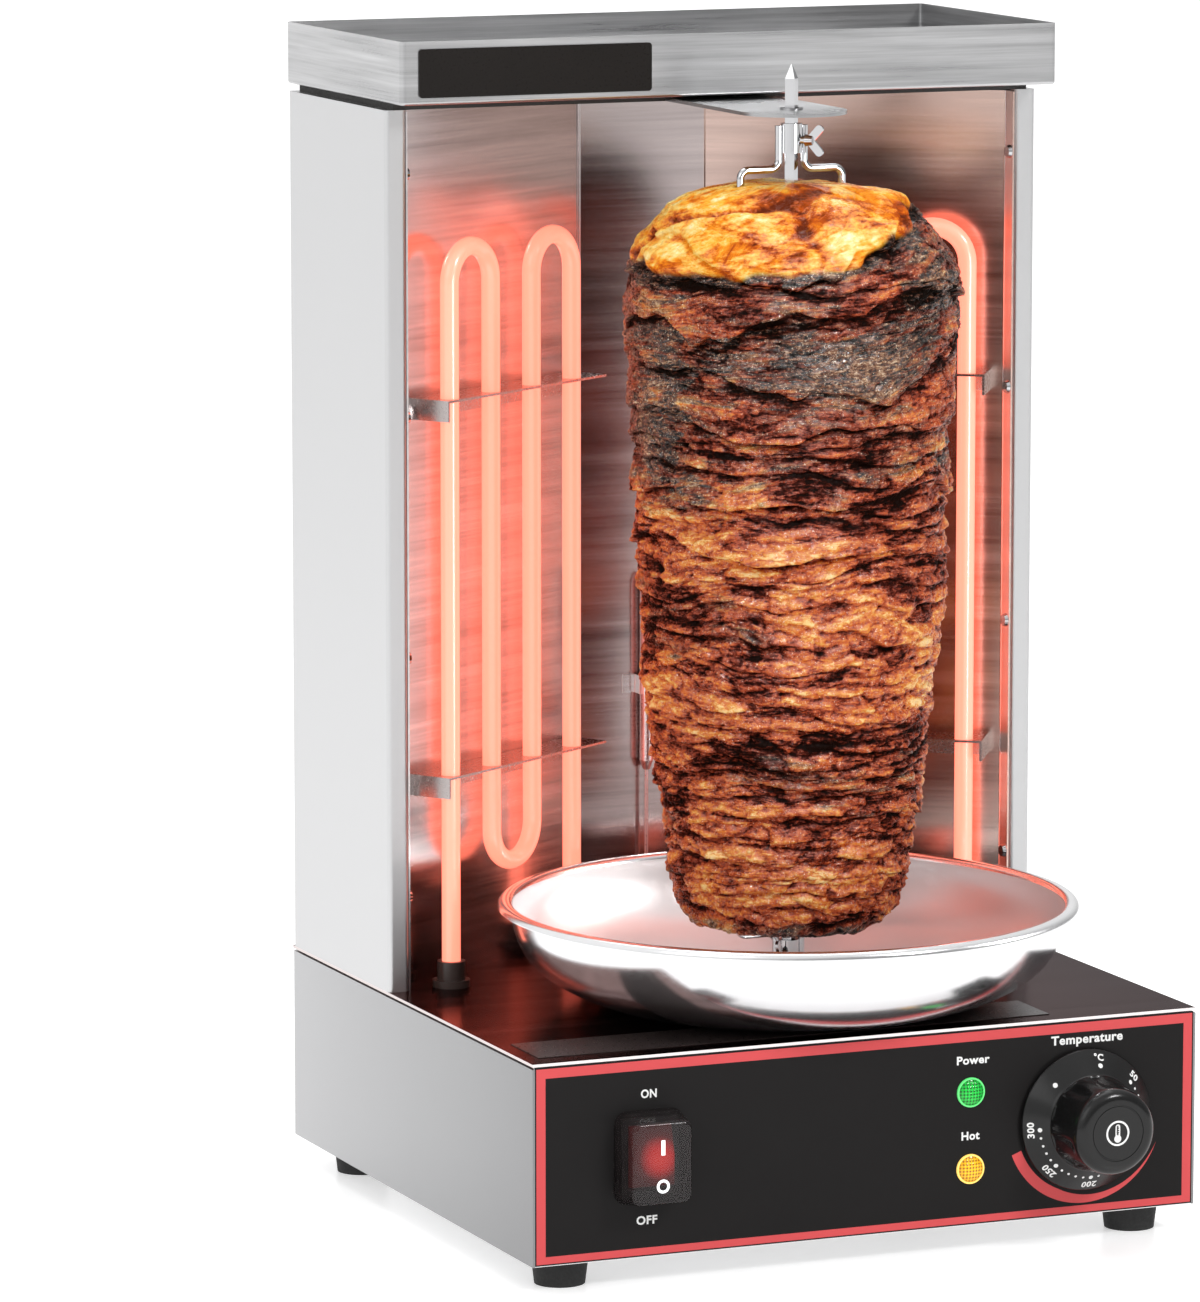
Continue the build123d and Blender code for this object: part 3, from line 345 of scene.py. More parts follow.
# Colour, fine grain, broad streaks, contrast, lowest and highest roughness, and tint at the edge
STEELS = {
    "steel_plain": ((0.57, 0.57, 0.575), 500.0, EVEN_BROAD, 0.02, (0.34, 0.40)),
    "steel_base": ((0.5, 0.5, 0.505), 500.0, EVEN_BROAD, 0.02, (0.36, 0.42)),
    "steel_hood": ((0.46, 0.46, 0.465), STREAK_Z, BROAD_Z, 0.36, (0.24, 0.36)),
    # The reflectors' pink and red tints are painted glow from the heaters, strongest on the right reflector
    "steel_inside": ((0.56, 0.515, 0.51), STREAK_Z, BROAD_Z, 0.26, (0.15, 0.23)),
    "steel_painted_glow": ((0.58, 0.43, 0.38), STREAK_Z, BROAD_Z, 0.26, (0.16, 0.25)),
    "steel_centre": ((0.50, 0.43, 0.42), STREAK_Z, BROAD_Z, 0.26, (0.16, 0.25)),
    # steel_lid's red-brown colour is a painted reflection of the heaters' glow
    "steel_lid": ((0.26, 0.17, 0.16), STREAK_Y, BROAD_Y, 0.4, (0.14, 0.26), (0.42, 0.38, 0.38)),
}

# Colour, roughness, and then metal, variation, bump and gloss where they aren't the usual ones
PLAINS = {
    "polished": ((0.80, 0.80, 0.81), 0.19, 1.0, 0.02, 0.02),
    "satin": ((0.72, 0.70, 0.70), 0.34, 0.6, 0.02, 0.03),
    "bright": ((0.56, 0.56, 0.57), 0.1, 1.0, 0.03, 0.05),
    "ferrule": ((0.045, 0.03, 0.026), 0.35),
    "steel_edge": ((0.80, 0.78, 0.78), 0.3, 1.0, 0.03),
    "film": ((0.012, 0.011, 0.011), 0.34, 0.0, 0.03, 0.05, 0.09),
    "plate": ((0.013, 0.011, 0.010), 0.3, 0.0, 0.08, 0.15, 0.12),
    "lid_plate": ((0.032, 0.024, 0.023), 0.3, 0.0, 0.08, 0.15, 0.2),
    "knob": ((0.007, 0.007, 0.007), 0.2, 0.0, 0.08, 0.05, 0.35),
    "switch": ((0.02, 0.018, 0.018), 0.35, 0.0, 0.08, 0.15, 0.3),
    "rubber": ((0.02, 0.02, 0.02), 0.7, 0.0, 0.08, 0.15, 0.3),
    "board": ((0.03, 0.028, 0.027), 0.7),
    "inner_metal": ((0.4, 0.4, 0.41), 0.4, 1.0),
    "bulb": ((0.62, 0.50, 0.49), 0.3, 1.0),
    "clamp_steel": ((0.42, 0.38, 0.37), 0.26, 1.0),
    "brass": ((0.75, 0.55, 0.25), 0.3, 1.0),
    "nylon": ((0.03, 0.03, 0.032), 0.5),
    "meat": ((0.3, 0.1, 0.03), 0.4),
    "white_print": ((0.82, 0.82, 0.81), 0.45, 0.0, 0.02, 0.03),
    "red_print": ((0.62, 0.075, 0.08), 0.42, 0.0, 0.03, 0.03, 0.2),
}

finishes = {name: brushed_steel(name, *values) for name, values in STEELS.items()}
finishes.update({name: plain(name, *values) for name, values in PLAINS.items()})
# Painted shade: the base shell's steel is darker towards the front
tone_along(finishes["steel_base"], "Y", (0.54, 0.54, 0.545), (0.90, 0.90, 0.905))
# Painted reflection on the lid: it keeps its red-brown glow on the left and turns darker and grey to the
# right
tone_along(finishes["steel_lid"], "X", (1.0, 1.0, 1.0), (0.30, 0.45, 0.50))
# Painted highlights: the lid's upright edges and the reflectors' side faces get a paler, glossier colour
brighten_hems(finishes["steel_lid"], "Z", 0.5)
for name in ("steel_inside", "steel_painted_glow", "steel_centre"):
    brighten_hems(finishes[name], "Y", 0.7)
finishes["heater"] = glowing("heater", (1.0, 0.20, 0.13), 2.1, (0.30, 0.12, 0.08), 0.42, 1.0)
# The white marks on the switch cover glow with painted light: no lamp lights them
finishes["painted_glow_print"] = glowing("painted_glow_print", (1.0, 1.0, 1.0), 0.75, (0.8, 0.8, 0.8), 0.35, 0.0)
finishes["lens_green"] = hatched_lens("lens_green", "power_lamp_lens", (0.0, 0.055, 0.006),
                                      (0.01, 0.50, 0.05), (0.10, 0.62, 0.16))
finishes["lens_amber"] = hatched_lens("lens_amber", "hot_lamp_lens", (0.24, 0.09, 0.002),
                                      (0.92, 0.47, 0.012), (0.95, 0.62, 0.14))
finishes["rocker"] = lit_rocker()
finishes["cover"] = smoked_cover()

node_finish = {
    "steel_plain": ["base_tray", "left_wall", "right_wall", "back_panel"],
    "steel_base": ["base_shell"],
    "steel_edge": ["control_panel"],
    "steel_hood": ["hood_tray", "spit_guide"],
    "steel_inside": ["left_reflector", "bulb_clip"],
    "steel_painted_glow": ["right_reflector"],
    "steel_centre": ["centre_reflector"],
    "steel_lid": ["base_lid"],
    "polished": ["drip_bowl"],
    "bright": ["spit", "top_fork", "bottom_fork", "top_wing_screw", "bottom_wing_screw", "wall_screws",
               "guide_screws", "guide_bush", "drive_socket"],
    "clamp_steel": ["left_lower_clamp", "left_upper_clamp", "right_lower_clamp", "right_upper_clamp"],
    "heater": ["left_heater", "right_heater"],
    "ferrule": ["heater_ferrules"],
    "film": ["panel_overlay"],
    "plate": ["hood_badge"],
    "lid_plate": ["base_label"],
    "knob": ["control_knob"],
    "switch": ["switch_body"],
    "rubber": ["rubber_feet"],
    "board": ["hood_spacer"],
    "inner_metal": ["foot_screws", "heater_terminals", "drive_shaft", "gear_motor", "motor_bracket",
                    "thermostat_shaft"],
    "bulb": ["thermostat_bulb", "capillary_tube"],
    "brass": ["shaft_bush"],
    "nylon": ["cable_gland", "gland_nut", "terminal_block", "thermostat_body", "lamp_bodies"],
    "meat": ["meat_stack"],
    "lens_green": ["power_lamp_lens"],
    "lens_amber": ["hot_lamp_lens"],
    "rocker": ["switch_rocker"],
    "cover": ["switch_cover"],
}


def dress_nodes():
    """Gives each CAD node its finish and smooth shading over its round faces."""
    for finish, names in node_finish.items():
        for name in names:
            mesh = cad(name).data
            mesh.materials.clear()
            mesh.materials.append(finishes[finish])
            mesh.shade_smooth()
            mesh.set_sharp_from_angle(angle=math.radians(SHARP_ANGLE))


dress_nodes()


# Camera and studio


def add_object(name, data):
    """A new object in the scene."""
    made = bpy.data.objects.new(name, data)
    bpy.context.scene.collection.objects.link(made)
    return made


def placed(name, data, place, aim):
    """A new object at a place that looks along a direction."""
    holder = add_object(name, data)
    holder.location = place
    holder.rotation_mode = "QUATERNION"
    holder.rotation_quaternion = aim.to_track_quat("-Z", "Y")
    return holder


def add_camera():
    """The camera at the photograph's place and angle."""
    camera = bpy.data.cameras.new("camera")
    camera.lens = CAMERA_LENS
    camera.sensor_width = CAMERA_SENSOR
    camera.clip_start = 0.1
    camera.clip_end = 100.0
    turn = math.radians(CAMERA_AZIMUTH)
    rise = math.radians(CAMERA_ELEVATION)
    back = Vector((math.sin(turn) * math.cos(rise), -math.cos(turn) * math.cos(rise), math.sin(rise)))
    bpy.context.scene.camera = placed("camera", camera, CAMERA_PLACE, -back)


def add_area_light(name, place, target, size, power):
    """A soft rectangular light that faces a point."""
    light = bpy.data.lights.new(name, "AREA")
    light.shape = "RECTANGLE"
    light.size, light.size_y = size
    light.energy = power
    return placed(name, light, place, Vector(target) - Vector(place))


def limit_light(light, pieces):
    """Lets a light fall on some pieces only."""
    receivers = bpy.data.collections.new(light.name + "_receivers")
    for piece in pieces:
        receivers.objects.link(piece)
    light.light_linking.receiver_collection = receivers


def add_accent_lights():
    """A line down the heaters and the spit's parts, a hard light on the roast and a fill in the bowl."""
    strip = add_area_light(*HEATER_LIGHT)
    limit_light(strip, [cad(name) for name in node_finish["heater"] + node_finish["bright"]])
    spark = add_area_light(*ROAST_LIGHT)
    spark.visible_diffuse = False
    limit_light(spark, [bpy.data.objects["meat_roast"]])
    fill = add_area_light(*BOWL_LIGHT)
    limit_light(fill, [bpy.data.objects["bowl_polished"]])


def add_world():
    """A studio surround that is brighter up and to the left."""
    world = bpy.data.worlds.new("studio")
    bpy.context.scene.world = world
    world.use_nodes = True
    tree = world.node_tree
    way = tree.nodes.new("ShaderNodeTexCoord").outputs["Generated"]
    bright = vector_maths(tree, "DOT_PRODUCT", way, Vector(BRIGHT_WAY).normalized(), "Value")
    share = ranged(tree, bright, 0.0, 1.0, start=-1.0, end=1.0)
    feed_all(tree.nodes["Background"], {"Color": ramp(tree, share, SURROUND), "Strength": SURROUND_STRENGTH})


def add_floor():
    """A pale floor."""
    bpy.ops.mesh.primitive_plane_add(size=FLOOR_SIZE, location=(0, 0, 0))
    floor = bpy.context.object
    floor.name = "floor"
    paint, tree, shader = new_material("floor_paint", Roughness=0.3, Emission_Color=(1.0, 1.0, 1.0, 1.0),
                                       Emission_Strength=FLOOR_GLOW)
    cloud = noise(tree, 3.0, detail=2.0)
    feed(shader, "Base Color", ramp(tree, cloud, [(0.3, (0.78, 0.78, 0.78)), (0.7, (0.80, 0.80, 0.80))]))
    floor.data.materials.append(paint)


def add_studio_lights():
    """Soft lights from the front, the left and above."""
    for values in KEY_LIGHTS:
        add_area_light(*values)


# Meat: its outline as heights above the floor and radii, and how it is layered
MEAT_SEED = 31
MEAT_COLUMNS = 640
MEAT_SIDE_ROWS = 440
MEAT_CAP_ROWS = 30
MEAT_OUTLINE = [(126.9, 24.0), (130.5, 38.0), (136.0, 44.5), (147.0, 49.2), (160.0, 51.2), (181.0, 54.3),
                (202.0, 57.4), (224.0, 60.4), (245.0, 62.3), (266.0, 63.3), (287.0, 64.8), (308.0, 63.8),
                (329.0, 64.2), (350.0, 65.6), (379.0, 68.6), (392.0, 70.2), (405.0, 68.8), (416.0, 64.8),
                (425.0, 59.0), (432.0, 50.0), (437.0, 38.0), (440.0, 22.0)]
MEAT_MEAN_RADIUS = 62.0
SEAM_LOW = 95.0
SEAM_HIGH = 480.0
SEAM_WAVES = ((1.1, 6), (0.6, 15), (0.22, 48))
SLICE_TILT = 7.0
SLICE_TURN = -0.06
FAT_TURN = 0.055
SLAB_REACH = 3.0
DROOP = 1.1
LUMP_REACH = 2.2
FLAKE_REACH = 1.3
CRUMB_REACH = 0.6
STRAND_REACH = 0.7
FAT_EDGE = 421.0
FAT_TILT = 12.0
DARK_EDGE = 312.0
CHAR_FOOT = 144.0
FLAPS = 9
POLE_RADIUS = 0.6
PRONG_PIT_RADIUS = 2.3
FORK_ROD_RADIUS = 1.6
PIT_ROOM = 4.5
PIT_EDGE = 0.3

# How far the noise reaches below and above the outline, and how many of each go round and up it
NOISE_FOOT = 30
NOISE_HEAD = 40
LUMPS = (11, 17)
FLAKES = (24, 74)
CRUMBS = (80, 170)
STRANDS = (34, 170)
THREADS = (110, 380)
FOLDS = (5, 22)
PATCHES = (8, 14)
SPOTS = (26, 64)
WET_SPOTS = (22, 48)


def smooth_step(low, high, value):
    """A smooth rise from 0 at the low value to 1 at the high one."""
    share = np.clip((value - low) / (high - low), 0.0, 1.0)
    return share * share * (3 - 2 * share)


def blurred_values(table, around, up):
    """Smooth values of a random table that wraps around the meat, at places from 0 to 1."""
    rows = table.shape[0] - 1
    columns = table.shape[1]
    x = around * columns
    y = np.clip(up, 0.0, 0.9999) * rows
    column = np.floor(x).astype(int)
    row = np.floor(y).astype(int)
    along = smooth_step(0, 1, x - column)
    rise = smooth_step(0, 1, y - row)
    left = column % columns
    right = (column + 1) % columns
    low = table[row, left] * (1 - along) + table[row, right] * along
    high = table[row + 1, left] * (1 - along) + table[row + 1, right] * along
    return low * (1 - rise) + high * rise


def cloud(rng, around, up, columns, rows):
    """Smooth noise from -1 to 1 with a number of humps around and up."""
    return 2 * blurred_values(rng.random((rows + 1, columns)), around, up) - 1


def flakes(rng, around, up, columns, rows):
    """Irregular cells: the distance to the middle, the distance to the edge, and a tone."""
    shift = rng.random((rows, columns, 2))
    tones = rng.random((rows, columns))
    x = around * columns
    y = up * rows
    column = np.floor(x).astype(int)
    row = np.floor(y).astype(int)
    nearest = np.full(x.shape, 9.0)
    second = np.full(x.shape, 9.0)
    tone = np.zeros(x.shape)
    for step_x in (-1, 0, 1):
        for step_y in (-1, 0, 1):
            cell_x = column + step_x
            cell_y = row + step_y
            place = (np.clip(cell_y, 0, rows - 1), cell_x % columns)
            distance = np.hypot(cell_x + shift[place][..., 0] - x, cell_y + shift[place][..., 1] - y)
            closer = distance < nearest
            second = np.where(closer, nearest, np.minimum(second, distance))
            tone = np.where(closer, tones[place], tone)
            nearest = np.where(closer, distance, nearest)
    return nearest, second - nearest, tone


def slice_thickness(height):
    """The mean thickness of the slices at a height. Slices are thicker higher up."""
    return 4.6 + 3.4 * float(smooth_step(230, 300, height)) + 8.0 * float(smooth_step(310, 360, height))


def slice_seams(rng):
    """The height of each seam between slices at each column."""
    levels = [SEAM_LOW]
    while levels[-1] < SEAM_HIGH:
        levels.append(levels[-1] + slice_thickness(levels[-1]) * (0.4 + 1.2 * rng.random()))
    levels = np.array(levels)
    columns = np.arange(MEAT_COLUMNS)[None, :] / MEAT_COLUMNS
    middle = np.full(columns.shape, 0.5)
    seams = []
    for index, level in enumerate(levels):
        room = (levels[min(index + 1, len(levels) - 1)] - levels[max(index - 1, 0)]) / 2
        wave = sum(reach * cloud(rng, columns, middle, humps, 1) for reach, humps in SEAM_WAVES)
        seams.append(level + room * wave[0] - index * 0.5)
    seams = np.maximum.accumulate(np.array(seams), axis=0)
    return seams + 0.5 * np.arange(len(levels))[:, None]


def even_steps(values):
    """Values with their corners rounded by a moving mean."""
    kernel = np.hanning(15)
    return np.convolve(np.pad(values, len(kernel) // 2, mode="edge"), kernel / kernel.sum(), mode="valid")


def meat_profile():
    """Radius, height and outward direction of each row of the meat, from pole to pole."""
    heights = np.array([height for height, radius in MEAT_OUTLINE])
    radii = np.array([radius for height, radius in MEAT_OUTLINE])
    travel = np.concatenate([[0.0], np.cumsum(np.hypot(np.diff(heights), np.diff(radii)))])
    places = np.linspace(0, travel[-1], MEAT_SIDE_ROWS)
    side_z = even_steps(np.interp(places, travel, heights))
    side_r = even_steps(np.interp(places, travel, radii))
    low_r = np.linspace(POLE_RADIUS, side_r[0], MEAT_CAP_ROWS, endpoint=False)
    high_r = np.linspace(side_r[-1], POLE_RADIUS, MEAT_CAP_ROWS + 1)[1:]
    high_z = side_z[-1] + 0.6 * (1 - (high_r / side_r[-1]) ** 2)
    radius = np.concatenate([low_r, side_r, high_r])
    height = np.concatenate([np.full(MEAT_CAP_ROWS, side_z[0]), side_z, high_z])
    slope_r = np.gradient(radius)
    slope_z = np.gradient(height)
    length = np.hypot(slope_r, slope_z)
    return radius, height, slope_z / length, -slope_r / length


def prong_pits(x, y, z):
    """How far each point sinks into the pits of the prongs, up or down."""
    top_low, top_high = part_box("top_fork")
    bottom_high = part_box("bottom_fork")[1]
    reach = (top_high.x - top_low.x) / 2 / MM - FORK_ROD_RADIUS
    middle = (meat_low.z + meat_high.z) / 2 / MM
    depth_top = z - (top_low.z / MM - PIT_ROOM)
    depth_bottom = z - (bottom_high.z / MM + PIT_ROOM)
    sink = np.zeros(z.shape)
    for side in (-1, 1):
        distance = np.hypot(x - side * reach, y)
        inside = 1 - smooth_step(PRONG_PIT_RADIUS - PIT_EDGE, PRONG_PIT_RADIUS + PIT_EDGE, distance)
        sink += inside * np.where(z > middle, depth_top, depth_bottom)
    return sink


def slice_shape(rng, wavy, drift):
    """Each slice overhangs the one below: its foot, its lip, the groove under the next with painted shade in
    it, and its flaps.
    """
    seams = slice_seams(rng)
    number = np.clip((seams[:, None, :] <= wavy[None]).sum(axis=0) - 1, 0, len(seams) - 2)
    column_of = np.broadcast_to(np.arange(MEAT_COLUMNS), number.shape)
    low = seams[number, column_of]
    thickness = seams[number + 1, column_of] - low
    share = np.clip((wavy - low) / thickness, 0, 1)
    foot = smooth_step(0.0, np.clip(1.6 / thickness, 0.06, 0.5), share)
    lip = foot * (1 - 0.85 * share)
    under_shade = smooth_step(0.66, 1.0, share) * np.clip(thickness / 7.0, 0.3, 1.0) + (1 - foot)
    size = np.clip(thickness / 11.0, 0.2, 1.4)
    flaps = rng.random((len(seams), FLAPS)) * 2 - 1
    column = np.floor(drift * FLAPS).astype(int)
    along = smooth_step(0, 1, drift * FLAPS - column)
    flap = flaps[number, column % FLAPS] * (1 - along) + flaps[number, (column + 1) % FLAPS] * along
    slab = size * (lip - 0.5 + 0.55 * flap * foot)
    droop = foot * (1 - smooth_step(0.0, 0.5, share)) * np.clip(size, 0, 1)
    return slab, droop, lip, under_shade


def meat_surface(rng):
    """The place of every point of the roast, and how it looks there."""
    radius, height, out_r, out_z = meat_profile()
    rows = len(radius)
    around = (np.arange(MEAT_COLUMNS) / MEAT_COLUMNS)[None, :] * np.ones((rows, 1))
    base_z = height[:, None] * np.ones((1, MEAT_COLUMNS))
    base_r = radius[:, None] * np.ones((1, MEAT_COLUMNS))
    turn = 2 * np.pi * around
    span_low = MEAT_OUTLINE[0][0] - NOISE_FOOT
    span = MEAT_OUTLINE[-1][0] + NOISE_HEAD - span_low

    def rise(z):
        return (z - span_low) / span

    def still(columns, rows):
        return cloud(rng, around, rise(base_z), columns, rows)

    # Slices sag and tilt, so their seams run in drifting lines
    tilt = np.cos(turn - 2 * np.pi * SLICE_TURN)
    wavy = base_z - SLICE_TILT * tilt * smooth_step(250, 380, base_z)
    wavy += 5.0 * still(4, 6) + 2.2 * still(13, 22)
    wavy += 0.8 * still(40, 60)
    drift = around + 0.014 * cloud(rng, around, rise(wavy), 9, 30)
    upper = smooth_step(DARK_EDGE - 25, DARK_EDGE + 25, wavy)
    slab, droop, lip, under_shade = slice_shape(rng, wavy, drift)

    def drifting(columns, rows):
        return cloud(rng, drift, rise(wavy), columns, rows)

    # Lumps, torn flakes, crumbs and strands
    lump_middle, _, lump_tone = flakes(rng, drift, rise(wavy), *LUMPS)
    flake_middle, flake_edge, flake_tone = flakes(rng, drift, rise(wavy), *FLAKES)
    crumb_rise = rise(base_z + 0.4 * (wavy - base_z))
    crumb_middle, crumb_edge, crumb_tone = flakes(rng, drift, crumb_rise, *CRUMBS)
    strand = 1 - np.abs(drifting(*STRANDS))
    thread = 1 - np.abs(drifting(*THREADS))
    fold = 1 - np.abs(drifting(*FOLDS))
    flake_gap = 1 - smooth_step(0.0, 0.3, flake_edge)
    crumb_gap = 1 - smooth_step(0.0, 0.35, crumb_edge)

    # The fat cap at the top is smoother, and hangs lowest on one side
    fat_line = base_z - FAT_TILT * np.cos(turn - 2 * np.pi * FAT_TURN)
    fat_line += 4.5 * still(7, 12) + 3.0 * still(24, 40)
    fat_line += 1.6 * still(60, 90)
    fat = smooth_step(FAT_EDGE - 1.0, FAT_EDGE + 1.0, fat_line)
    rough = 1 - 0.6 * fat
    fat_lip = np.exp(-((fat_line - FAT_EDGE - 2.5) / 3.0) ** 2)

    reach = SLAB_REACH * slab * rough
    reach += LUMP_REACH * (0.45 - lump_middle) * (0.35 + 0.65 * upper) * rough
    torn = 0.7 * (flake_tone - 0.5) + 0.4 - flake_middle - 0.6 * flake_gap
    reach += FLAKE_REACH * torn * (1 - 0.4 * upper) * rough
    reach += CRUMB_REACH * (0.4 - crumb_middle - 0.7 * crumb_gap) * rough
    reach += STRAND_REACH * (strand - 0.6) * (1 - 0.6 * upper) * rough + 0.25 * (thread - 0.5) * rough
    reach += 1.4 * still(7, 9)
    reach += fat * (1.6 * still(15, 40) - 2.0 * smooth_step(0.84, 1.0, fold))
    reach += fat * 0.8 * (0.4 - flake_middle)
    reach += 1.3 * fat_lip - 1.8 * (1 - fat) * smooth_step(FAT_EDGE - 8, FAT_EDGE, fat_line)
    from_pole = smooth_step(6.0, 40.0, base_r)
    reach *= from_pole
    move_r = base_r + reach * out_r[:, None]
    move_z = base_z + reach * out_z[:, None] * 0.7 - DROOP * droop * rough * from_pole
    x = move_r * np.cos(turn)
    y = move_r * np.sin(turn)
    z = np.clip(move_z, meat_low.z / MM, meat_high.z / MM + 0.6)
    z = z - prong_pits(x, y, z)
    points = np.stack([x * MM, y * MM + spit_y, z * MM], axis=-1)

    # How dark, how deep and how fatty each point is; the tone holds painted shade and painted highlights,
    # and the char holds painted shadow as well
    patches = drifting(*PATCHES)
    spots = drifting(*SPOTS)
    tone = 0.55 + 0.34 * (flake_tone - 0.5) + 0.18 * (lump_tone - 0.5) + 0.16 * (crumb_tone - 0.5)
    tone += 0.14 * (strand - 0.5) + 0.12 * (thread - 0.5) + 0.20 * patches + 0.16 * spots
    # A painted highlight on the slices' lips, and painted shade in the grooves under them and in the gaps
    # between flakes and crumbs
    tone += 0.08 * lip - (0.22 + 0.10 * upper) * under_shade - 0.12 * flake_gap - 0.07 * crumb_gap
    char_and_shade = upper * (0.58 + 0.34 * patches + 0.36 * (lump_tone - 0.5))
    char_and_shade += 0.55 * (1 - upper) * smooth_step(0.15, 0.9, -patches + 0.6 * spots)
    char_and_shade += 0.6 * (1 - smooth_step(CHAR_FOOT - 14, CHAR_FOOT, base_z))
    # Painted shadow under the edge of the fat cap, carried in the char
    char_and_shade += 0.5 * (1 - smooth_step(0.0, 9.0, FAT_EDGE - fat_line))
    # Painted shade in the fat cap's folds
    crease_shade = fat * smooth_step(0.8, 1.0, fold)
    wet = 0.5 + 0.5 * drifting(*WET_SPOTS)
    flow = np.stack([MEAT_MEAN_RADIUS * np.cos(turn), MEAT_MEAN_RADIUS * np.sin(turn), wavy], axis=-1) * MM
    looks = {"tone": tone, "char_and_shade": np.clip(char_and_shade, 0, 1), "fat": fat, "wet": wet, "crease_shade": crease_shade}
    return points, looks, flow


def grid_mesh(name, points):
    """A closed mesh over rows of points that wrap around."""
    rows, columns = points.shape[:2]
    number = np.arange(rows * columns).reshape(rows, columns)
    beside = np.roll(number, -1, axis=1)
    faces = np.stack([number[:-1], beside[:-1], beside[1:], number[1:]], axis=-1).reshape(-1, 4)
    loops = np.concatenate([faces.ravel(), number[0, ::-1], number[-1]])
    sizes = np.concatenate([np.full(len(faces), 4), np.full(2, columns)])
    mesh = bpy.data.meshes.new(name)
    mesh.vertices.add(rows * columns)
    mesh.vertices.foreach_set("co", points.ravel())
    mesh.loops.add(len(loops))
    mesh.loops.foreach_set("vertex_index", loops.astype(np.int32))
    mesh.polygons.add(len(sizes))
    mesh.polygons.foreach_set("loop_start", np.concatenate([[0], np.cumsum(sizes)[:-1]]).astype(np.int32))
    mesh.update(calc_edges=True)
    mesh.validate()
    mesh.shade_smooth()
    return mesh


def add_meat():
    """The stack of roast meat on the spit."""
    points, looks, flow = meat_surface(np.random.default_rng(MEAT_SEED))
    mesh = grid_mesh("meat_roast", points)
    for key, values in looks.items():
        layer = mesh.attributes.new(key, "FLOAT", "POINT")
        layer.data.foreach_set("value", values.ravel().astype(np.float32))
    layer = mesh.attributes.new("flow", "FLOAT_VECTOR", "POINT")
    layer.data.foreach_set("vector", flow.ravel().astype(np.float32))
    meat = add_object("meat_roast", mesh)
    mesh.materials.append(meat_finish())
    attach(meat, "spit")
    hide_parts("meat_stack")


def attribute(tree, name, output="Fac"):
    """A value kept on the mesh."""
    made = tree.nodes.new("ShaderNodeAttribute")
    made.attribute_name = name
    return made.outputs[output]


def fat_colour(tree, tone):
    """Melted fat: cream, yellow and orange clouds with a few fine cracks, and painted shade in its folds."""
    melt = noise(tree, (30.0, 30.0, 56.0), detail=9.0, roughness=0.68, distortion=0.9)
    fat_tone = arithmetic(tree, "ADD", melt, ranged(tree, tone, -0.09, 0.09, start=0.2, end=0.9))
    # The fat is darker in its folds: painted shade
    crease_shade = ranged(tree, attribute(tree, "crease_shade"), 0.02, 0.14, 0.0, 1.0)
    tallow = ramp(tree, arithmetic(tree, "SUBTRACT", fat_tone, crease_shade),
                  [(0.28, (0.12, 0.018, 0.004)), (0.36, (0.46, 0.075, 0.007)), (0.43, (0.76, 0.22, 0.012)),
                   (0.50, (0.84, 0.42, 0.045)), (0.57, (0.86, 0.60, 0.17)), (0.68, (0.92, 0.82, 0.50))])
    crackle = tree.nodes.new("ShaderNodeTexVoronoi")
    crackle.feature = "DISTANCE_TO_EDGE"
    feed(crackle, "Scale", 1.0)
    place = node(tree, "ShaderNodeMapping", Vector=object_place(tree), Scale=(170.0, 170.0, 260.0))
    feed(crackle, "Vector", place.outputs["Vector"])
    cracks = ranged(tree, crackle.outputs["Distance"], 1.0, 0.0, start=0.0, end=0.05)
    where = ranged(tree, noise(tree, 60.0, detail=2.0), 0.0, 0.5, start=0.52, end=0.66)
    return mixed(tree, arithmetic(tree, "MULTIPLY", cracks, where), tallow, (0.30, 0.09, 0.012))


def lean_colour(tree, tone, fibres, shreds, grit):
    """Browned flesh with patches of black crust, which also carry painted shadow, and a few pale specks that
    are painted glints.
    """
    flesh = ramp(tree, tone, [(0.12, (0.007, 0.002, 0.001)), (0.29, (0.055, 0.007, 0.003)),
                              (0.44, (0.22, 0.023, 0.003)), (0.58, (0.42, 0.058, 0.005)),
                              (0.70, (0.56, 0.12, 0.009)), (0.83, (0.65, 0.215, 0.022)),
                              (0.93, (0.72, 0.34, 0.07)), (1.0, (0.82, 0.53, 0.20))])
    half_tone = arithmetic(tree, "MULTIPLY", tone, 0.5)
    crust = arithmetic(tree, "ADD", half_tone, ranged(tree, fibres, -0.14, 0.46))
    crust = arithmetic(tree, "ADD", crust, ranged(tree, grit, -0.12, 0.18))
    burnt = ramp(tree, crust, [(0.30, (0.004, 0.002, 0.001)), (0.46, (0.018, 0.006, 0.003)),
                               (0.60, (0.085, 0.024, 0.009)), (0.74, (0.19, 0.075, 0.032)),
                               (0.88, (0.30, 0.17, 0.09)), (1.0, (0.52, 0.38, 0.25))])
    char_and_shade_mix = arithmetic(tree, "ADD", attribute(tree, "char_and_shade"), ranged(tree, shreds, -0.35, 0.35))
    colour = mixed(tree, ranged(tree, char_and_shade_mix, 0.0, 1.0, start=0.35, end=0.75), flesh, burnt)
    # Pale specks on the lighter flesh: painted glints
    painted_glints = ranged(tree, noise(tree, 1250.0, detail=3.0, roughness=0.7), 0.0, 0.75, start=0.61, end=0.67)
    painted_glints = arithmetic(tree, "MULTIPLY", painted_glints, ranged(tree, tone, 0.0, 1.0, start=0.34, end=0.62))
    return mixed(tree, painted_glints, colour, (0.90, 0.76, 0.56))


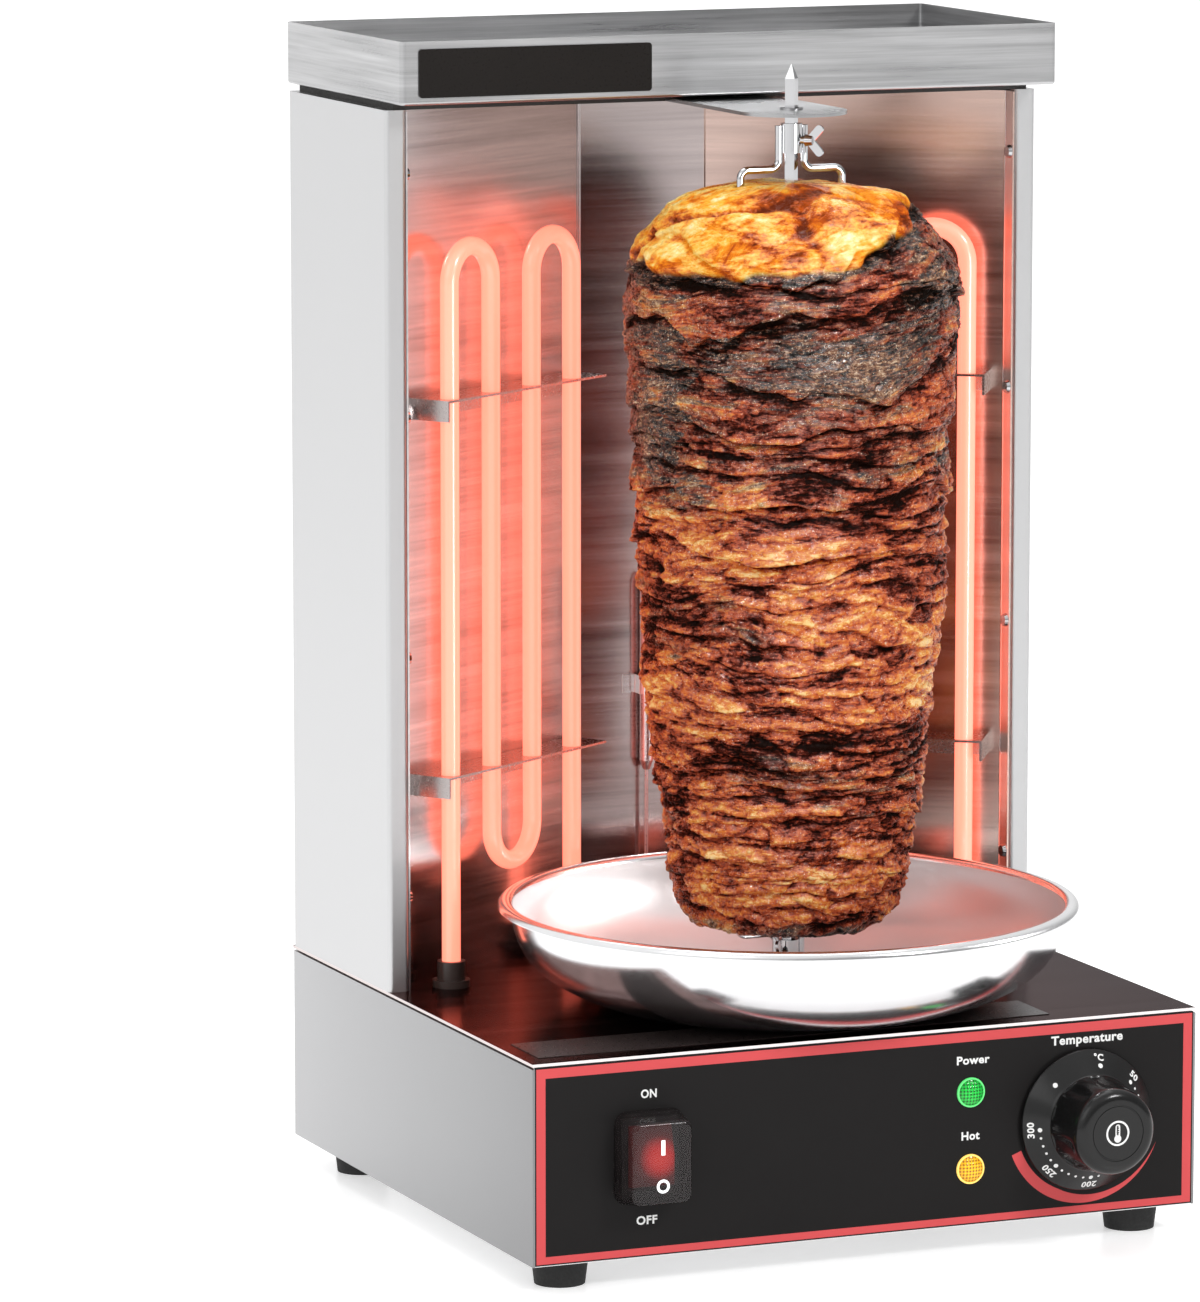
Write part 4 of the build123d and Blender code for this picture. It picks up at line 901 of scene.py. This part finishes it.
def meat_finish():
    """Roast meat: browned flakes, char with painted shadow, glossy fat and threads along the slices."""
    material, tree, shader = new_material("roast_meat", Coat_Roughness=0.07)
    flow = attribute(tree, "flow", "Vector")
    fibres = noise(tree, (260.0, 260.0, 1000.0), 7.0, 0.6, 0.8, flow)
    shreds = noise(tree, (60.0, 60.0, 310.0), 6.0, 0.6, 1.0, flow)
    grit = noise(tree, (900.0, 900.0, 1100.0), detail=5.0, roughness=0.7)
    tone = attribute(tree, "tone")
    for texture, swing in ((fibres, 0.2), (shreds, 0.22), (grit, 0.12)):
        tone = arithmetic(tree, "ADD", tone, ranged(tree, texture, -swing, swing))
    colour = lean_colour(tree, tone, fibres, shreds, grit)
    feed(shader, "Base Color", mixed(tree, attribute(tree, "fat"), colour, fat_colour(tree, tone)))
    shine = arithmetic(tree, "SUBTRACT", 0.52, arithmetic(tree, "MULTIPLY", attribute(tree, "wet"), 0.3))
    feed(shader, "Roughness", arithmetic(tree, "ADD", shine, ranged(tree, grit, -0.14, 0.14)))
    open_share = ranged(tree, tone, 0.04, 1.0, start=0.26, end=0.62)
    feed(shader, "Specular IOR Level", arithmetic(tree, "MULTIPLY", open_share, 0.3))
    drops = ranged(tree, noise(tree, 620.0, detail=2.0), 0.0, 1.0, start=0.52, end=0.62)
    feed(shader, "Coat Weight", arithmetic(tree, "MULTIPLY", open_share, drops))
    bumped(tree, shader, fibres, 0.7, 0.5)
    bumped(tree, shader, shreds, 0.5, 0.8)
    bumped(tree, shader, grit, 0.8, 0.5)
    feed(shader, "Coat Normal", source(shader, "Normal"))
    return material


add_meat()


# Printed front
PRINT_THICKNESS = 0.04
RING_STEPS = 48
DOT_STEPS = 20
LETTER_WEIGHT = 0.03
LETTER_SPACE = 1.07
BORDER_WIDTH = 4.0
BORDER_FOOT_WIDTH = 3.0
BORDER_MARGIN = 0.6
ARC_RADIUS = 35.8
ARC_WIDTH = 4.6
ARC_START = 201
ARC_END = 339
# Each word's name, text, middle, width and height
PANEL_WORDS = [("on", "ON", -99.0, 80.0, 7.0, 3.7), ("off", "OFF", -99.8, 27.5, 9.2, 3.7),
               ("power", "Power", 47.0, 82.0, 15.0, 3.6), ("hot", "Hot", 46.0, 50.0, 8.3, 3.6),
               ("temperature", "Temperature", 99.4, 86.3, 33.2, 5.1)]

# Knob
SKIRT_RADIUS = 30.0
SKIRT_BACK = 1.0
SKIRT_EDGE = 2.6
SKIRT_FRONT = 8.5
GRIP_RADIUS = 20.0
GRIP_FRONT_RADIUS = 18.2
GRIP_START = 9.6
GRIP_END = 26.5
GRIP_STEPS = 12
KNOB_REACH = 31.0
CROWN_INSET = 4.6
FLUTES = 10
FLUTE_DEPTH = 1.3
FACE_RING = 11.9
FACE_GROOVE = 0.3
FACE_RECESS = 0.02
KNOB_COLUMNS = 240

# Dial marks
DIAL_NUMBERS = 6
DIAL_UNIT = 50
DIAL_FIRST_ANGLE = 40.0
DIAL_STEP = 43.2
DIAL_PARTS = 5
DOT_PLACE = 23.7
DOT_RADIUS = 0.95
SMALL_DOT_RADIUS = 0.55
SIDE_DOT_RADIUS = 1.05
NUMBER_PLACE = 27.0
SIGN_RING = (5.3, 4.5)
SIGN_BORE = (1.1, 4.0, 0.0, 1.2)
SIGN_TICK = (0.55, 0.32, 0.28)
SIGN_TUBE_RADIUS = 1.05
SIGN_TUBE_TOP = 2.7
SIGN_BULB_RADIUS = 1.6
SIGN_BULB_PLACE = -2.3
SIGN_LAYER = 0.02


def face_place(x, z, out=0.0):
    """A frame on the front panel: X to the right, Y up and Z out of the panel."""
    place = Matrix.Translation((x * MM, front_y - out * MM, z * MM))
    return place @ Matrix.Rotation(math.radians(90), 4, "X")


def add_piece(name, points, faces, finish, body, smooth=True):
    """A new piece from points in metres, riding on a body."""
    mesh = bpy.data.meshes.new(name)
    mesh.from_pydata([tuple(point) for point in points], [], faces)
    mesh.validate()
    mesh.materials.append(finishes[finish])
    if smooth:
        mesh.shade_smooth()
        mesh.set_sharp_from_angle(angle=math.radians(SHARP_ANGLE))
    piece = add_object(name, mesh)
    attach(piece, body)
    return piece


def add_print(name, shape, place, finish, body, thickness=PRINT_THICKNESS):
    """A printed mark: a flat shape in a frame, with a little thickness."""
    flat, faces = shape
    count = len(flat)
    points = [place @ Vector((u * MM, v * MM, height * MM)) for height in (0, thickness) for u, v in flat]
    solid = [[count + corner for corner in face] for face in faces]
    solid += [list(reversed(face)) for face in faces]
    edges = {(a, b) for face in faces for a, b in zip(face, face[1:] + face[:1])}
    for a, b in sorted(edges):
        if (b, a) not in edges:
            solid.append([a, b, count + b, count + a])
    add_piece(name, points, solid, finish, body, smooth=False)


def ring_shape(outer, inner, start=0.0, end=360.0):
    """A band between an outer radius and an inner one, which is a function of the share of the sweep."""
    whole = end - start >= 360.0
    flat = []
    for step in range(RING_STEPS if whole else RING_STEPS + 1):
        share = step / RING_STEPS
        turn = math.radians(start + (end - start) * share)
        for reach in (outer, inner(share)):
            flat.append((reach * math.cos(turn), reach * math.sin(turn)))
    faces = []
    for step in range(RING_STEPS):
        a = 2 * step
        b = (2 * step + 2) % len(flat)
        faces.append([a, b, b + 1, a + 1])
    return flat, faces


def even_ring(outer, inner):
    """A whole ring."""
    return ring_shape(outer, lambda share: inner)


def disc_shape(radius):
    """A round dot."""
    turns = [2 * math.pi * step / DOT_STEPS for step in range(DOT_STEPS)]
    return [(radius * math.cos(turn), radius * math.sin(turn)) for turn in turns], [list(range(DOT_STEPS))]


def bar_shape(width, height, x=0.0, y=0.0):
    """An upright bar."""
    corners = ((-1, -1), (1, -1), (1, 1), (-1, 1))
    return [(x + side * width / 2, y + end * height / 2) for side, end in corners], [[0, 1, 2, 3]]


def add_words(name, words, width, height, place, body):
    """Bold white letters of a given width and height, centred on a frame."""
    curve = bpy.data.curves.new(name, "FONT")
    curve.body = words
    curve.size = 1.0
    curve.offset = LETTER_WEIGHT
    curve.space_character = LETTER_SPACE
    curve.extrude = 0.01
    curve.resolution_u = 3
    maker = bpy.data.objects.new(name, curve)
    mesh = bpy.data.meshes.new_from_object(maker)
    bpy.data.objects.remove(maker)
    bpy.data.curves.remove(curve)
    corners = np.array([vertex.co for vertex in mesh.vertices])
    low = corners.min(axis=0)
    high = corners.max(axis=0)
    sized = (corners - (low + high) / 2) * (width, height, PRINT_THICKNESS) / (high - low)
    for vertex, (u, v, out) in zip(mesh.vertices, sized):
        vertex.co = place @ Vector((u * MM, v * MM, (out + PRINT_THICKNESS / 2) * MM))
    mesh.materials.clear()
    mesh.materials.append(finishes["white_print"])
    letters = add_object(name, mesh)
    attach(letters, body)


def arc_inside(share):
    """The inner radius of the red arc, which starts thin."""
    return ARC_RADIUS - ARC_WIDTH * min(1.0, 1.5 * (1 - share)) - 0.02


def add_panel_print():
    """The red border, the red arc and the words on the front."""
    x0 = film_low.x / MM + BORDER_MARGIN
    z0 = film_low.z / MM + BORDER_MARGIN
    x1 = film_high.x / MM - BORDER_MARGIN
    z1 = film_high.z / MM - BORDER_MARGIN
    flat = [(x0, z0), (x1, z0), (x1, z1), (x0, z1),
            (x0 + BORDER_WIDTH, z0 + BORDER_FOOT_WIDTH), (x1 - BORDER_WIDTH, z0 + BORDER_FOOT_WIDTH),
            (x1 - BORDER_WIDTH, z1 - BORDER_WIDTH), (x0 + BORDER_WIDTH, z1 - BORDER_WIDTH)]
    faces = [[0, 1, 5, 4], [1, 2, 6, 5], [2, 3, 7, 6], [3, 0, 4, 7]]
    add_print("red_border", (flat, faces), face_place(0, 0), "red_print", ROOT)
    arc = ring_shape(ARC_RADIUS, arc_inside, ARC_START, ARC_END)
    add_print("red_arc", arc, face_place(knob_x, knob_z), "red_print", ROOT)
    for name, words, x, z, width, height in PANEL_WORDS:
        add_words("word_" + name, words, width, height, face_place(x, z), ROOT)


def lathe(rows, columns, place):
    """Points and faces of rings about a frame's Z axis.

    Each row gives a radius and a height, each of them even or one per column.
    """
    points = []
    for radii, heights in rows:
        radii = np.broadcast_to(radii, columns)
        heights = np.broadcast_to(heights, columns)
        for column in range(columns):
            turn = 2 * math.pi * column / columns
            points.append(place @ Vector((radii[column] * math.cos(turn) * MM,
                                          radii[column] * math.sin(turn) * MM, heights[column] * MM)))
    faces = []
    for row in range(len(rows) - 1):
        for column in range(columns):
            beside = (column + 1) % columns
            faces.append([row * columns + column, row * columns + beside,
                          (row + 1) * columns + beside, (row + 1) * columns + column])
    return points, faces


def capped_lathe(rows, columns, place):
    """A lathed shape with its last and first rings closed."""
    points, faces = lathe(rows, columns, place)
    faces.append(list(range(len(points) - columns, len(points))))
    faces.append(list(reversed(range(columns))))
    return points, faces


def flute_share(column):
    """How deep a flute is at a column, from 0 between flutes to 1 in the middle of one."""
    turn = 2 * math.pi * FLUTES * column / KNOB_COLUMNS
    return (0.5 - 0.5 * math.cos(turn)) ** 1.6


def skirt_height(radius):
    """How far the skirt's sloping face stands out at a radius."""
    return SKIRT_EDGE + (SKIRT_RADIUS - radius) * (SKIRT_FRONT - SKIRT_EDGE) / (SKIRT_RADIUS - GRIP_RADIUS)


def add_knob():
    """The control knob: a skirt, a scalloped tapering grip and a ringed face."""
    rows = [(3.4, SKIRT_BACK), (29.4, SKIRT_BACK), (29.85, 1.15), (SKIRT_RADIUS, 1.6), (29.9, 2.35),
            (29.5, skirt_height(29.5)), (20.9, skirt_height(20.9)), (20.35, 8.6), (20.1, 8.9),
            (GRIP_RADIUS, 9.3)]
    for step in range(GRIP_STEPS + 1):
        share = step / GRIP_STEPS
        taper = GRIP_RADIUS + (GRIP_FRONT_RADIUS - GRIP_RADIUS) * share
        depth = FLUTE_DEPTH * math.sin(math.pi * min(1.0, 0.12 + share)) ** 0.5
        radii = [taper - depth * flute_share(column) for column in range(KNOB_COLUMNS)]
        rows.append((radii, GRIP_START + (GRIP_END - GRIP_START) * share))
    rim = rows[-1][0]
    for step in range(1, 7):
        turn = math.radians(15 * step)
        radii = [radius - CROWN_INSET * (1 - math.cos(turn)) for radius in rim]
        rows.append((radii, GRIP_END + (KNOB_REACH - GRIP_END) * math.sin(turn)))
    rows += [(FACE_RING, KNOB_REACH), (FACE_RING - 0.15, KNOB_REACH - FACE_GROOVE),
             (FACE_RING - 0.6, KNOB_REACH - FACE_GROOVE), (FACE_RING - 0.75, KNOB_REACH - FACE_RECESS),
             (6.0, KNOB_REACH - FACE_RECESS)]
    points, faces = capped_lathe(rows, KNOB_COLUMNS, face_place(knob_x, knob_z))
    knob = add_piece("knob_grip", points, faces, "knob", "knob")
    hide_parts("control_knob")


def skirt_place(angle, radius):
    """A frame on the sloping face of the skirt, Y outward."""
    slope = math.atan2(SKIRT_FRONT - SKIRT_EDGE, SKIRT_RADIUS - GRIP_RADIUS)
    place = face_place(knob_x, knob_z) @ Matrix.Rotation(math.radians(angle - 90), 4, "Z")
    place = place @ Matrix.Translation((0, radius * MM, skirt_height(radius) * MM))
    return place @ Matrix.Rotation(-slope, 4, "X")


def add_dial_mark(name, shape, place, finish="white_print", thickness=PRINT_THICKNESS):
    """A mark that turns with the knob."""
    add_print("dial_" + name, shape, place, finish, "knob", thickness)


def add_dial_words(name, words, width, height, angle):
    """Letters on the skirt."""
    add_words("dial_" + name, words, width, height, skirt_place(angle, NUMBER_PLACE), "knob")


def add_dial_marks():
    """The numbers and dots round the skirt."""
    for number in range(DIAL_NUMBERS):
        angle = DIAL_FIRST_ANGLE - DIAL_STEP * number
        value = DIAL_UNIT * (number + 1)
        add_dial_words(str(value), str(value), 2.25 * len(str(value)), 3.1, angle)
        add_dial_mark("dot_" + str(value), disc_shape(DOT_RADIUS), skirt_place(angle, DOT_PLACE))
        if number == DIAL_NUMBERS - 1:
            continue
        for between in range(1, DIAL_PARTS):
            turn = angle - DIAL_STEP * between / DIAL_PARTS
            name = "dot_" + str(value + DIAL_UNIT * between // DIAL_PARTS)
            add_dial_mark(name, disc_shape(SMALL_DOT_RADIUS), skirt_place(turn, DOT_PLACE))
    add_dial_words("unit", "°C", 4.4, 3.2, 81)
    for name, angle in (("dot_unit", 80), ("dot_low", 135)):
        add_dial_mark(name, disc_shape(SIDE_DOT_RADIUS), skirt_place(angle, DOT_PLACE))


def sign_tube_shape():
    """The outline of a small thermometer: a tube with a round end over a bulb."""
    start = math.asin(SIGN_TUBE_RADIUS / SIGN_BULB_RADIUS)
    flat = []
    for step in range(13):
        turn = math.pi * step / 12
        flat.append((SIGN_TUBE_RADIUS * math.cos(turn), SIGN_TUBE_TOP + SIGN_TUBE_RADIUS * math.sin(turn)))
    for step in range(25):
        turn = math.pi / 2 + start + (2 * math.pi - 2 * start) * step / 24
        flat.append((SIGN_BULB_RADIUS * math.cos(turn), SIGN_BULB_PLACE + SIGN_BULB_RADIUS * math.sin(turn)))
    return flat, [list(range(len(flat)))]


def add_dial_sign():
    """The ring and the thermometer on the knob's face."""
    face = face_place(knob_x, knob_z, KNOB_REACH - FACE_RECESS)
    add_dial_mark("sign_ring", even_ring(*SIGN_RING), face)
    add_dial_mark("sign_tube", sign_tube_shape(), face)
    raised = face @ Matrix.Translation((0, 0, PRINT_THICKNESS * MM))
    add_dial_mark("sign_bore", bar_shape(*SIGN_BORE), raised, "knob", SIGN_LAYER)
    raised = raised @ Matrix.Translation((0, 0, SIGN_LAYER * MM))
    for tick in range(4):
        shape = bar_shape(*SIGN_TICK, SIGN_TUBE_TOP - tick)
        add_dial_mark("sign_tick_" + str(tick), shape, raised, thickness=SIGN_LAYER)


# Lamps: the rim's rings are an inset and a height each
LENS_RINGS = 40
LENS_COLUMNS = 120
LENS_RIM_RINGS = ((0.0, 0.0), (0.0, 0.55), (0.12, 0.8), (0.4, 0.9), (0.75, 0.82))
DOME_INSET = 0.95
DOME_FOOT = 0.6
DOME_RISE = 1.15
HATCH_DEPTH = 0.22


def hatch_rise(reach, share, column):
    """The rise of the lens's hatch at a place on its dome."""
    turn = 2 * math.pi * column / LENS_COLUMNS
    u = reach * math.cos(turn) / HATCH_PITCH
    v = reach * math.sin(turn) / HATCH_PITCH
    return HATCH_DEPTH * abs(math.sin(math.pi * u) * math.sin(math.pi * v)) * min(1.0, (1 - share) * 8)


def add_lens(name, node_name, finish):
    """A domed lamp lens with a rim and a fine hatch of pyramids."""
    low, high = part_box(node_name)
    place = face_place((low.x + high.x) / 2 / MM, (low.z + high.z) / 2 / MM)
    radius = (high.x - low.x) / 2 / MM
    rows = [(radius - inset, height) for inset, height in LENS_RIM_RINGS]
    dome = radius - DOME_INSET
    for ring in range(LENS_RINGS):
        reach = dome * (1 - ring / LENS_RINGS) + 0.05
        share = reach / dome
        height = DOME_FOOT + DOME_RISE * (1 - share ** 2)
        rows.append((reach, [height + hatch_rise(reach, share, column) for column in range(LENS_COLUMNS)]))
    points, faces = capped_lathe(rows, LENS_COLUMNS, place)
    lens = add_piece(name, points, faces, finish, ROOT)
    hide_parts(node_name)


# Switch
SWITCH_BAR = (1.7, 6.2)
SWITCH_RING = (2.85, 1.75)
BAR_RISE = 6.5
RING_RISE = -9.5


def add_switch_marks():
    """The bar and the ring on the front of the switch cover."""
    cover_low, cover_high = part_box("switch_cover")
    out = (front_y - cover_low.y) / MM
    middle_x = (cover_low.x + cover_high.x) / 2 / MM
    middle_z = (cover_low.z + cover_high.z) / 2 / MM
    for name, shape, rise in (("switch_bar", bar_shape(*SWITCH_BAR), BAR_RISE),
                              ("switch_ring", even_ring(*SWITCH_RING), RING_RISE)):
        add_print(name, shape, face_place(middle_x, middle_z + rise, out), "painted_glow_print", ROOT)


# Drip bowl
BOWL_COLUMNS = 256
BOWL_SHEET = 0.8
BOWL_RADIUS = 122.3
BOWL_HEIGHT = 43.4
BOWL_FLOOR_RINGS = (25.0, 36.0, 48.0, 60.0)
BOWL_KNEE = (101.0, 12.0)
BOWL_RIM_WIDTH = 6.3
BOWL_RIM_ROLL = 2.55
BOWL_ROLL_STEPS = 16
COLLAR_RADIUS = 13.0
COLLAR_HEIGHT = 6.0
COLLAR_FOOT = (2.2, 2.6)


def tangent_arc(start, angle, end, steps):
    """Points after the start on an arc that leaves it at an angle, with the angle at its end."""
    chord = math.atan2(end[1] - start[1], end[0] - start[0])
    sweep = 2 * (chord - angle)
    reach = math.hypot(end[0] - start[0], end[1] - start[1])
    radius = reach / 2 / math.sin(sweep / 2)
    centre = (start[0] - radius * math.sin(angle), start[1] + radius * math.cos(angle))
    points = []
    for step in range(1, steps + 1):
        turn = angle + sweep * step / steps
        points.append((centre[0] + radius * math.sin(turn), centre[1] - radius * math.cos(turn)))
    return points, angle + sweep


def bowl_line():
    """The middle line of the bowl's sheet, from the collar out to the end of the rolled rim."""
    half = BOWL_SHEET / 2
    wall_top = BOWL_HEIGHT - BOWL_RIM_ROLL - half
    wall_radius = BOWL_RADIUS - BOWL_RIM_WIDTH
    line = [(COLLAR_RADIUS, COLLAR_HEIGHT), (COLLAR_RADIUS, COLLAR_FOOT[1])]
    line += tangent_arc(line[-1], -math.pi / 2, (COLLAR_RADIUS + COLLAR_FOOT[0], half), 8)[0]
    line += [(radius, half) for radius in BOWL_FLOOR_RINGS]
    arc, turn = tangent_arc(line[-1], 0.0, BOWL_KNEE, 20)
    line += arc
    line += tangent_arc(BOWL_KNEE, turn, (wall_radius, wall_top), 28)[0]
    middle = (wall_radius + BOWL_RADIUS - half) / 2
    half_roll = BOWL_RADIUS - half - middle
    for step in range(1, BOWL_ROLL_STEPS + 1):
        turn = math.pi * (1 - step / BOWL_ROLL_STEPS)
        line.append((middle + half_roll * math.cos(turn), wall_top + BOWL_RIM_ROLL * math.sin(turn)))
    return line


def offset_line(line, offset):
    """A line beside another, at an offset to its left."""
    edge = []
    for index, (radius, height) in enumerate(line):
        before = line[max(0, index - 1)]
        after = line[min(len(line) - 1, index + 1)]
        run = math.hypot(after[0] - before[0], after[1] - before[1])
        edge.append((radius - offset * (after[1] - before[1]) / run,
                     height + offset * (after[0] - before[0]) / run))
    return edge


def add_bowl():
    """The drip bowl: polished outside and satin inside."""
    line = bowl_line()
    rows = offset_line(line, BOWL_SHEET / 2) + list(reversed(offset_line(line, -BOWL_SHEET / 2)))
    points, faces = lathe(rows, BOWL_COLUMNS, Matrix.Translation((0, spit_y, top_z)))
    last = (len(rows) - 1) * BOWL_COLUMNS
    for column in range(BOWL_COLUMNS):
        beside = (column + 1) % BOWL_COLUMNS
        faces.append([last + column, last + beside, beside, column])
    faces = [list(reversed(face)) for face in faces]
    bowl = add_piece("bowl_polished", points, faces, "polished", "drip_bowl")
    bowl.data.materials.append(finishes["satin"])
    inside = (len(line) - BOWL_ROLL_STEPS) * BOWL_COLUMNS
    for index, face in enumerate(bowl.data.polygons):
        face.material_index = int(index < inside)
    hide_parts("drip_bowl")


add_panel_print()
add_knob()
add_dial_marks()
add_dial_sign()
add_lens("lens_power", "power_lamp_lens", "lens_green")
add_lens("lens_hot", "hot_lamp_lens", "lens_amber")
add_switch_marks()
add_bowl()

add_camera()
add_world()
add_floor()
add_studio_lights()
add_accent_lights()
bpy.context.scene.view_settings.view_transform = "Standard"
